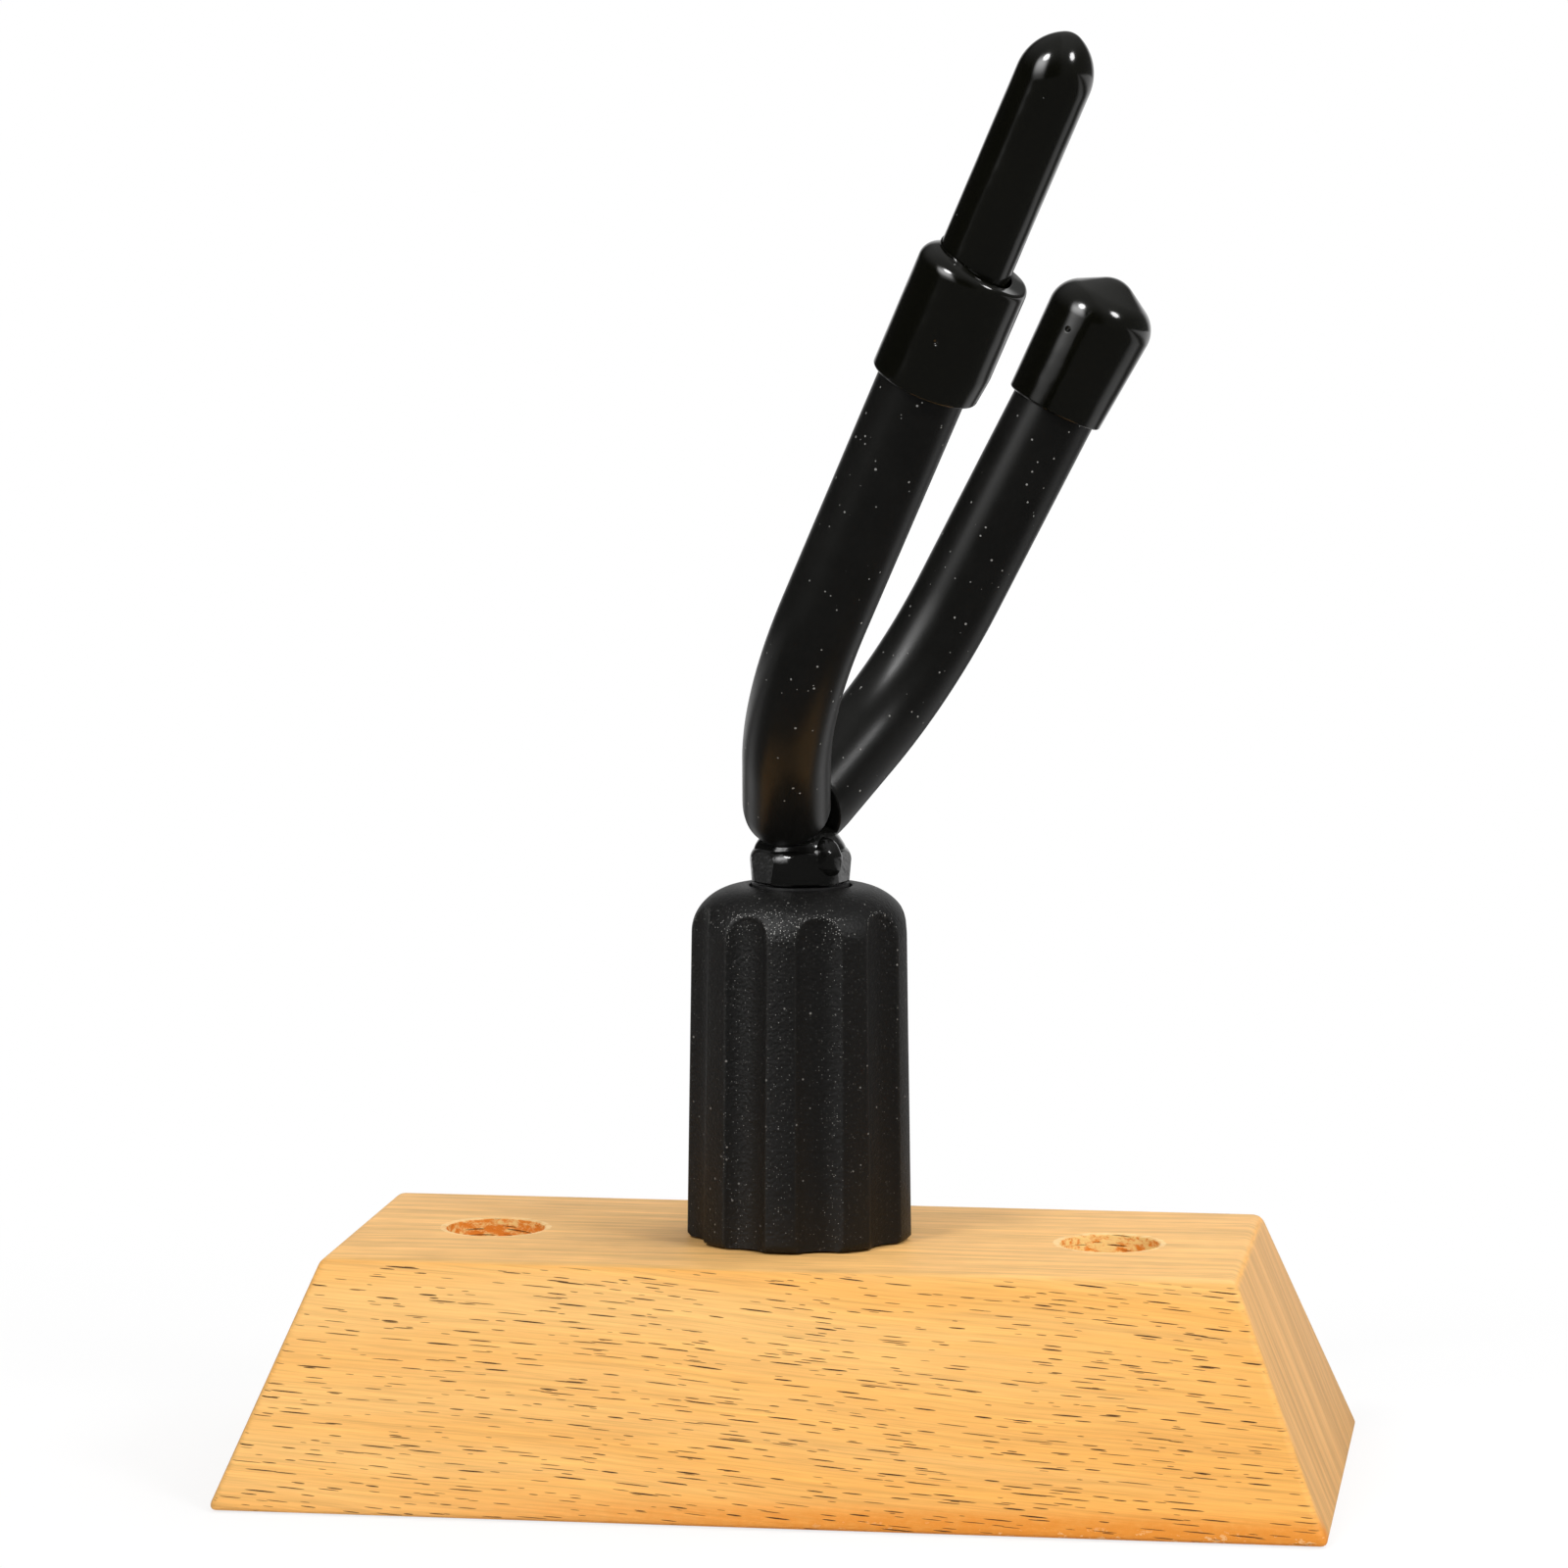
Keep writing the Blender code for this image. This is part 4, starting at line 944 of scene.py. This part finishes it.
def plug_shape(side, start, radius):
    """A closed rod along the foot of one arm, in the hanger's frame, to cut a seat with."""
    places = [arm_place(mark, side) for mark in arm_marks(start, SEAT_REACH)]
    shape, first, last = swept(places, radius, TUBE_SEGMENTS)
    bmesh.ops.holes_fill(shape, edges=first + last, sides=0)
    bmesh.ops.transform(shape, matrix=yoke_matrix(), verts=shape.verts)
    return shape


class HANGER_OT_bolt(bpy.types.Operator):
    """Model the bolt's head, its shank, the weld that joins it to the rod, and the rod"""

    bl_idname = "hanger.bolt"
    bl_label = "Yoke bolt and rod"

    def execute(self, context):
        paint = paint_material(context.scene.hanger_colours)
        turn = Matrix.Rotation(YOKE_TURN, 4, "Z")
        sizes = context.scene.hanger_sizes
        bolt = new_piece(
            "painted_bolt", hexagon_head(), paint, "yoke", "black gloss paint", "yoke_bolt", matrix=turn
        )
        cut_with(bolt, head_barrel(), "INTERSECT")
        top, tip = BOLT_HEAD_LOW + 1 * MM, SHANK_LOW + SHANK_RADIUS - SHANK_TIP_RADIUS
        shank = [(0, top), (SHANK_RADIUS, top), (SHANK_RADIUS, tip), (SHANK_TIP_RADIUS, SHANK_LOW)]
        cut_with(bolt, spun([*shank, (0, SHANK_LOW)], 64), "UNION")
        for middle, size in WELDS:
            weld = weld_shape(middle, size)
            bmesh.ops.transform(weld, matrix=turn, verts=weld.verts)
            cut_with(bolt, weld, "UNION")
        cut_with(bolt, plug_shape(NEAR, 0, sizes.rod_radius + ROD_SEAT_GAP))
        cut_with(bolt, plug_shape(FAR, 0, sizes.rod_radius + ROD_SEAT_GAP))
        cut_with(bolt, plug_shape(NEAR, NEAR_TUBE_START - ROD_SEAT_GAP, sizes.tube_radius + ROD_SEAT_GAP))
        cut_with(bolt, plug_shape(FAR, FAR_TUBE_START - ROD_SEAT_GAP, sizes.tube_radius + ROD_SEAT_GAP))
        bolt.data.shade_smooth()
        bolt.data.set_sharp_from_angle(angle=radians(16))
        # the rod runs down the near arm and up the far one
        places = [arm_place(mark, NEAR) for mark in reversed(arm_marks(0, NEAR_ROD_LENGTH))]
        flip = Matrix.Rotation(pi, 4, "X")
        places = [place @ flip for place in places]
        places += [arm_place(mark, FAR) for mark in arm_marks(0, FAR_ROD_LENGTH)[1:]]
        rod, first, last = swept(places, sizes.rod_radius, ROD_SEGMENTS)
        bmesh.ops.holes_fill(rod, edges=first + last, sides=0)
        new_piece("painted_rod", rod, paint, "yoke", "black gloss paint", "yoke_rod", matrix=yoke_matrix())
        return {"FINISHED"}


class HANGER_OT_tubing(bpy.types.Operator):
    """Model the rubber tubing on both arms"""

    bl_idname = "hanger.tubing"
    bl_label = "Rubber tubing"

    def execute(self, context):
        rubber = rubber_material(context.scene.hanger_colours)
        sizes = context.scene.hanger_sizes
        wall = sizes.tube_radius - sizes.rod_radius - TUBE_FIT_GAP
        runs = (
            ("near_tubing", "near_tube", NEAR, NEAR_TUBE_START, NEAR_TUBE_END),
            ("far_tubing", "far_tube", FAR, FAR_TUBE_START, FAR_TUBE_END),
        )
        for name, node, side, start, end in runs:
            shape = tube_shape(side, start, end, sizes.tube_radius, wall)
            new_piece(
                name, shape, rubber, "yoke", "black rubber", node,
                matrix=yoke_matrix(), smooth_below=radians(60),
            )
        return {"FINISHED"}


def radius_on(outline, height):
    """The outline's radius at a height, where it runs down from its top."""
    for (high_r, high_z), (low_r, low_z) in zip(outline, outline[1:]):
        if low_z <= height <= high_z:
            return low_r + (high_r - low_r) * (height - low_z) / max(high_z - low_z, 1e-9)
    return outline[-1][0]


def rounded(before, corner, after, count=5):
    """Points round a corner, from one place on its first side to one on its second."""
    shares = [k / count for k in range(count + 1)]
    return [
        tuple(before[i] * (1 - t) ** 2 + corner[i] * 2 * t * (1 - t) + after[i] * t * t for i in (0, 1))
        for t in shares
    ]


def collar_section(outline, angle, sizes):
    """(radius, height, on the outside) round the collar's section at an angle: a cap cut off askew."""
    off = angle - COLLAR_CUT_DIRECTION
    inner = sizes.tube_radius + TUBE_FIT_GAP
    lip, rim, start = CAP_LIP_ROUNDING, COLLAR_RIM_ROUNDING, COLLAR_STRAIGHT_LENGTH
    # the cut slants, and wavers where the knife was turned
    waver = 0.14 * MM * sin(3 * off + 0.4) + 0.06 * MM * sin(5 * off)
    cut = COLLAR_LENGTH - COLLAR_CUT_DROP * (1 + cos(off)) / 2 + waver
    hole = COLLAR_HOLE_RADIUS + COLLAR_HOLE_SHIFT * cos(off)
    edge = max(radius_on(outline, cut), hole + 0.1 * MM)
    half = min(rim, (edge - hole) / 2)
    low = cut - rim
    heights = [start + (low - start) * k / 24 for k in range(25)]
    wall = [(radius_on(outline, height), height) for height in heights]
    rim_out = rounded(wall[-1], (edge, cut), (edge - half, cut))
    rim_in = rounded((hole + half, cut), (hole, cut), (hole, low))
    side = [(sizes.collar_radius, lip + (start - lip) * k / 16) for k in range(16)]
    mouth = arc(sizes.collar_radius - lip, lip, lip, lip, -pi / 2, 0, 6)
    outside = mouth + side[1:] + wall[:-1] + rim_out
    inside = rim_in + [(hole, COLLAR_CAVITY_LENGTH), (inner, COLLAR_CAVITY_LENGTH), (inner, 0)]
    return [(r, z, True) for r, z in outside] + [(r, z, False) for r, z in inside]


def collar_shape(sizes):
    """The collar's section turned about its axis, each point then set to the section at its own angle."""
    length = CAP_LENGTH + COLLAR_STRETCH
    rounding = (COLLAR_SHOULDER_ROUNDING, CAP_TIP_ROUNDING)
    outline = blunt_cone(sizes.collar_radius, length, CAP_SLOPE, *rounding, fine=24)
    shape = bmesh.new()
    row = shape.verts.layers.int.new("row")
    corners = []
    for number, (radius, height, _) in enumerate(collar_section(outline, 0, sizes)):
        corner = shape.verts.new((radius, 0, height))
        corner[row] = number
        corners.append(corner)
    edges = [shape.edges.new((corners[k - 1], corners[k])) for k in range(len(corners))]
    turned_round(shape, corners + edges, COLLAR_STEPS)
    angles = [2 * pi * turn / COLLAR_STEPS for turn in range(COLLAR_STEPS)]
    sections = [collar_section(outline, angle, sizes) for angle in angles]
    for vert in shape.verts:
        turn = round(atan2(vert.co.y, vert.co.x) / (2 * pi) * COLLAR_STEPS) % COLLAR_STEPS
        radius, height, outside = sections[turn][vert[row]]
        angle = angles[turn]
        vert.co = (radius * cos(angle), radius * sin(angle), height)
        if outside:
            # the soft wall stands out on one side, less so at its mouth
            vert.co.x += COLLAR_BULGE * (0.5 + 0.5 * cos(angle)) * min(0.35 + 0.65 * height / (4 * MM), 1.0)
    return shape


def cap_profile(sizes):
    """The far arm's cap, from its tip down the outside and back up the inside."""
    inner, lip, bend = sizes.tube_radius + TUBE_FIT_GAP, CAP_LIP_ROUNDING, CAP_INNER_ROUNDING
    ceiling = CAP_LENGTH - CAP_TOP_THICKNESS
    outside = blunt_cone(sizes.cap_radius, CAP_LENGTH, CAP_SLOPE, CAP_SHOULDER_ROUNDING, CAP_TIP_ROUNDING)
    mouth = arc(CAP_MOUTH_RADIUS - lip, lip, lip, lip, 0, -pi / 2, 6)
    inside = [(inner, 0), *arc(inner - bend, ceiling - bend, bend, bend, 0, pi / 2, 8), (0, ceiling)]
    return outside + mouth + inside


def sleeve_profile(sizes):
    """The peg's sleeve, from its tip down the outside and back up the inside."""
    length, radius, bore = SLEEVE_END - SLEEVE_START, sizes.peg_radius, sizes.rod_radius + TUBE_FIT_GAP
    ceiling = length - SLEEVE_TOP_THICKNESS
    outside = blunt_cone(radius, length, SLEEVE_SLOPE, SLEEVE_SHOULDER_ROUNDING, SLEEVE_TIP_ROUNDING)
    mouth = [(radius, SLEEVE_MOUTH_CHAMFER), (radius - SLEEVE_MOUTH_CHAMFER, 0), (bore, 0)]
    inside = [(bore, ceiling - SLEEVE_INNER_CHAMFER), (bore - SLEEVE_INNER_CHAMFER, ceiling), (0, ceiling)]
    return outside + mouth + inside


class HANGER_OT_caps(bpy.types.Operator):
    """Model the vinyl cap, the cut collar and the bow peg's sleeve"""

    bl_idname = "hanger.caps"
    bl_label = "Vinyl caps"

    def execute(self, context):
        sizes = context.scene.hanger_sizes
        vinyl = vinyl_material(context.scene.hanger_colours)
        runs = (
            ("far_arm_cap", "far_cap", spun(cap_profile(sizes), CAP_STEPS), FAR, FAR_CAP_START, 40),
            ("near_arm_collar", "near_collar", collar_shape(sizes), NEAR, COLLAR_START, 60),
            ("bow_peg", "bow_peg_sleeve", spun(sleeve_profile(sizes), CAP_STEPS), NEAR, SLEEVE_START, 40),
        )
        for name, node, shape, side, start, smooth in runs:
            place = yoke_matrix() @ arm_place(start, side)
            new_piece(
                name, shape, vinyl, "yoke", "black vinyl", node, matrix=place, smooth_below=radians(smooth)
            )
        return {"FINISHED"}


# Stage


FLOOR_SIZE = 6.0
FLOOR_Z = -0.2 * MM
DIFFUSE_WORLD = 0.38
LAMP_TARGET = Vector((0, 0, 80 * MM))
CAMERA_AZIMUTH = radians(8.18)
CAMERA_ELEVATION = radians(6.19)
CAMERA_DISTANCE = 826.08 * MM
CAMERA_TARGET = Vector((-2.3 * MM, 0, 95.43 * MM))
CAMERA_LENS = 138.1
SENSOR_WIDTH = 36
LAMPS = (
    # name, place, diameter, watts, shows in gloss
    ("key", (-0.55, -0.9, 1.15), 0.36, 9.5, True),
    ("fill", (1.0, -0.6, 0.9), 0.34, 7.0, True),
    ("top", (0.6, 0.25, 1.25), 1.2, 10.0, False),
)


def area_lamp(name, place, diameter, watts, in_gloss):
    lamp = bpy.data.lights.new(name, "AREA")
    lamp.shape = "DISK"
    lamp.size = diameter
    lamp.energy = watts
    holder = linked(name, lamp)
    holder.location = place
    holder.rotation_euler = (LAMP_TARGET - Vector(place)).to_track_quat("-Z", "Y").to_euler()
    holder.visible_glossy = in_gloss


def add_camera():
    level = cos(CAMERA_ELEVATION)
    back = Vector((sin(CAMERA_AZIMUTH) * level, -cos(CAMERA_AZIMUTH) * level, sin(CAMERA_ELEVATION)))
    lens = bpy.data.cameras.new("camera")
    lens.lens = CAMERA_LENS
    lens.sensor_width = SENSOR_WIDTH
    camera = linked("camera", lens)
    camera.location = CAMERA_TARGET + back * CAMERA_DISTANCE
    camera.rotation_euler = (-back).to_track_quat("-Z", "Y").to_euler()
    bpy.context.scene.camera = camera


def seen_directly(path):
    """1 for rays from the camera, also through glass."""
    return path["Is Camera Ray"].larger(path["Is Transmission Ray"])


def white_world():
    """A studio: white directly and behind in reflections, a dim room in front with a glow to the left."""
    graph = NodeTree(bpy.data.worlds.new("studio"))
    bpy.context.scene.world = graph.owner
    sky = graph.tree.nodes["Background"]
    path = graph.node("ShaderNodeLightPath")
    across, depth, height = graph.axes(graph.node("ShaderNodeTexCoord")["Generated"])
    level_reach = (across * across + depth * depth) ** 0.5
    towards_glow = (across * -0.67 - depth * 0.742) / level_reach
    glow = towards_glow.ramp(0.925, 1.0) * height.ramp(-0.25, 0.1) * (0.95 + height.ramp(0.05, 0.55) * 8.0)
    glow = glow * height.ramp(0.80, 0.52)
    backdrop = depth.ramp(0.75, 0.98)
    to_right = (across * 0.956 + depth * 0.29) / level_reach
    room = 0.02 + to_right.ramp(-0.14, 0.22) * 0.10 + height.ramp(0.3, 1.0) * 0.30 + glow
    mirrored = backdrop.larger(room) * path["Is Glossy Ray"]
    level = seen_directly(path).larger(mirrored).larger((1 - path["Is Glossy Ray"]) * DIFFUSE_WORLD)
    graph.fill(sky.inputs["Color"], graph.join(level, level, level))


def floor_material():
    """A pale floor that keeps the shadow close to the block and melts into the white further out."""
    pale = (0.86, 0.86, 0.86, 1)
    graph = Graph("pale_floor", {"Roughness": 0.9, "Base Color": pale, "Specular IOR Level": 0.1})
    nodes, links = graph.tree.nodes, graph.tree.links
    glow = nodes.new("ShaderNodeEmission")
    path = graph.node("ShaderNodeLightPath")
    x, y, _ = graph.axes(graph.place())
    far = ((x * x * 0.6 + y * y) ** 0.5).ramp(60.0, 210.0)
    mirrored = path["Is Glossy Ray"]
    behind = y + abs(x) * 0.35
    shown = behind.ramp(90.0, 170.0) * behind.ramp(330.0, 220.0) * 0.65 + behind.ramp(350.0, 750.0)
    level = 1 - mirrored * (1 - shown) * 0.9
    graph.fill(glow.inputs["Color"], graph.join(level, level, level))
    mix = nodes.new("ShaderNodeMixShader")
    graph.fill(mix.inputs[0], (seen_directly(path) * (0.80 + far * 0.20) + mirrored).clamp())
    links.new(graph.shader.outputs[0], mix.inputs[1])
    links.new(glow.outputs[0], mix.inputs[2])
    links.new(mix.outputs[0], nodes["Material Output"].inputs["Surface"])
    return graph.material


class HANGER_OT_stage(bpy.types.Operator):
    """Set up the floor, the white surroundings, the lamps and the camera"""

    bl_idname = "hanger.stage"
    bl_label = "Stage and camera"

    def execute(self, context):
        shape = bmesh.new()
        bmesh.ops.create_grid(shape, x_segments=1, y_segments=1, size=FLOOR_SIZE / 2)
        floor = linked("floor", meshed("floor", shape))
        floor.data.materials.append(floor_material())
        floor.location.z = FLOOR_Z
        white_world()
        for lamp in LAMPS:
            area_lamp(*lamp)
        add_camera()
        context.scene.view_settings.view_transform = "Standard"
        return {"FINISHED"}


class HANGER_PT_panel(bpy.types.Panel):
    bl_idname = "HANGER_PT_panel"
    bl_label = "Violin wall hanger"
    bl_space_type = "VIEW_3D"
    bl_region_type = "UI"
    bl_category = "Hanger"

    def draw(self, context):
        for operator in OPERATORS:
            self.layout.operator(operator.bl_idname)
        for group in (context.scene.hanger_sizes, context.scene.hanger_colours):
            for name in group.bl_rna.properties.keys():
                if name not in ("rna_type", "name"):
                    self.layout.prop(group, name)


OPERATORS = (
    HANGER_OT_block, HANGER_OT_housing, HANGER_OT_fixings, HANGER_OT_bolt, HANGER_OT_tubing, HANGER_OT_caps,
    HANGER_OT_stage,
)
CLASSES = (HangerSizes, HangerColours, *OPERATORS, HANGER_PT_panel)


def register():
    for cls in CLASSES:
        bpy.utils.register_class(cls)
    bpy.types.Scene.hanger_sizes = PointerProperty(type=HangerSizes)
    bpy.types.Scene.hanger_colours = PointerProperty(type=HangerColours)


def unregister():
    del bpy.types.Scene.hanger_colours
    del bpy.types.Scene.hanger_sizes
    for cls in reversed(CLASSES):
        bpy.utils.unregister_class(cls)


def main():
    register()
    bpy.ops.hanger.block()
    bpy.ops.hanger.housing()
    bpy.ops.hanger.fixings()
    bpy.ops.hanger.bolt()
    bpy.ops.hanger.tubing()
    bpy.ops.hanger.caps()
    bpy.ops.hanger.stage()


if __name__ == "__main__":
    main()
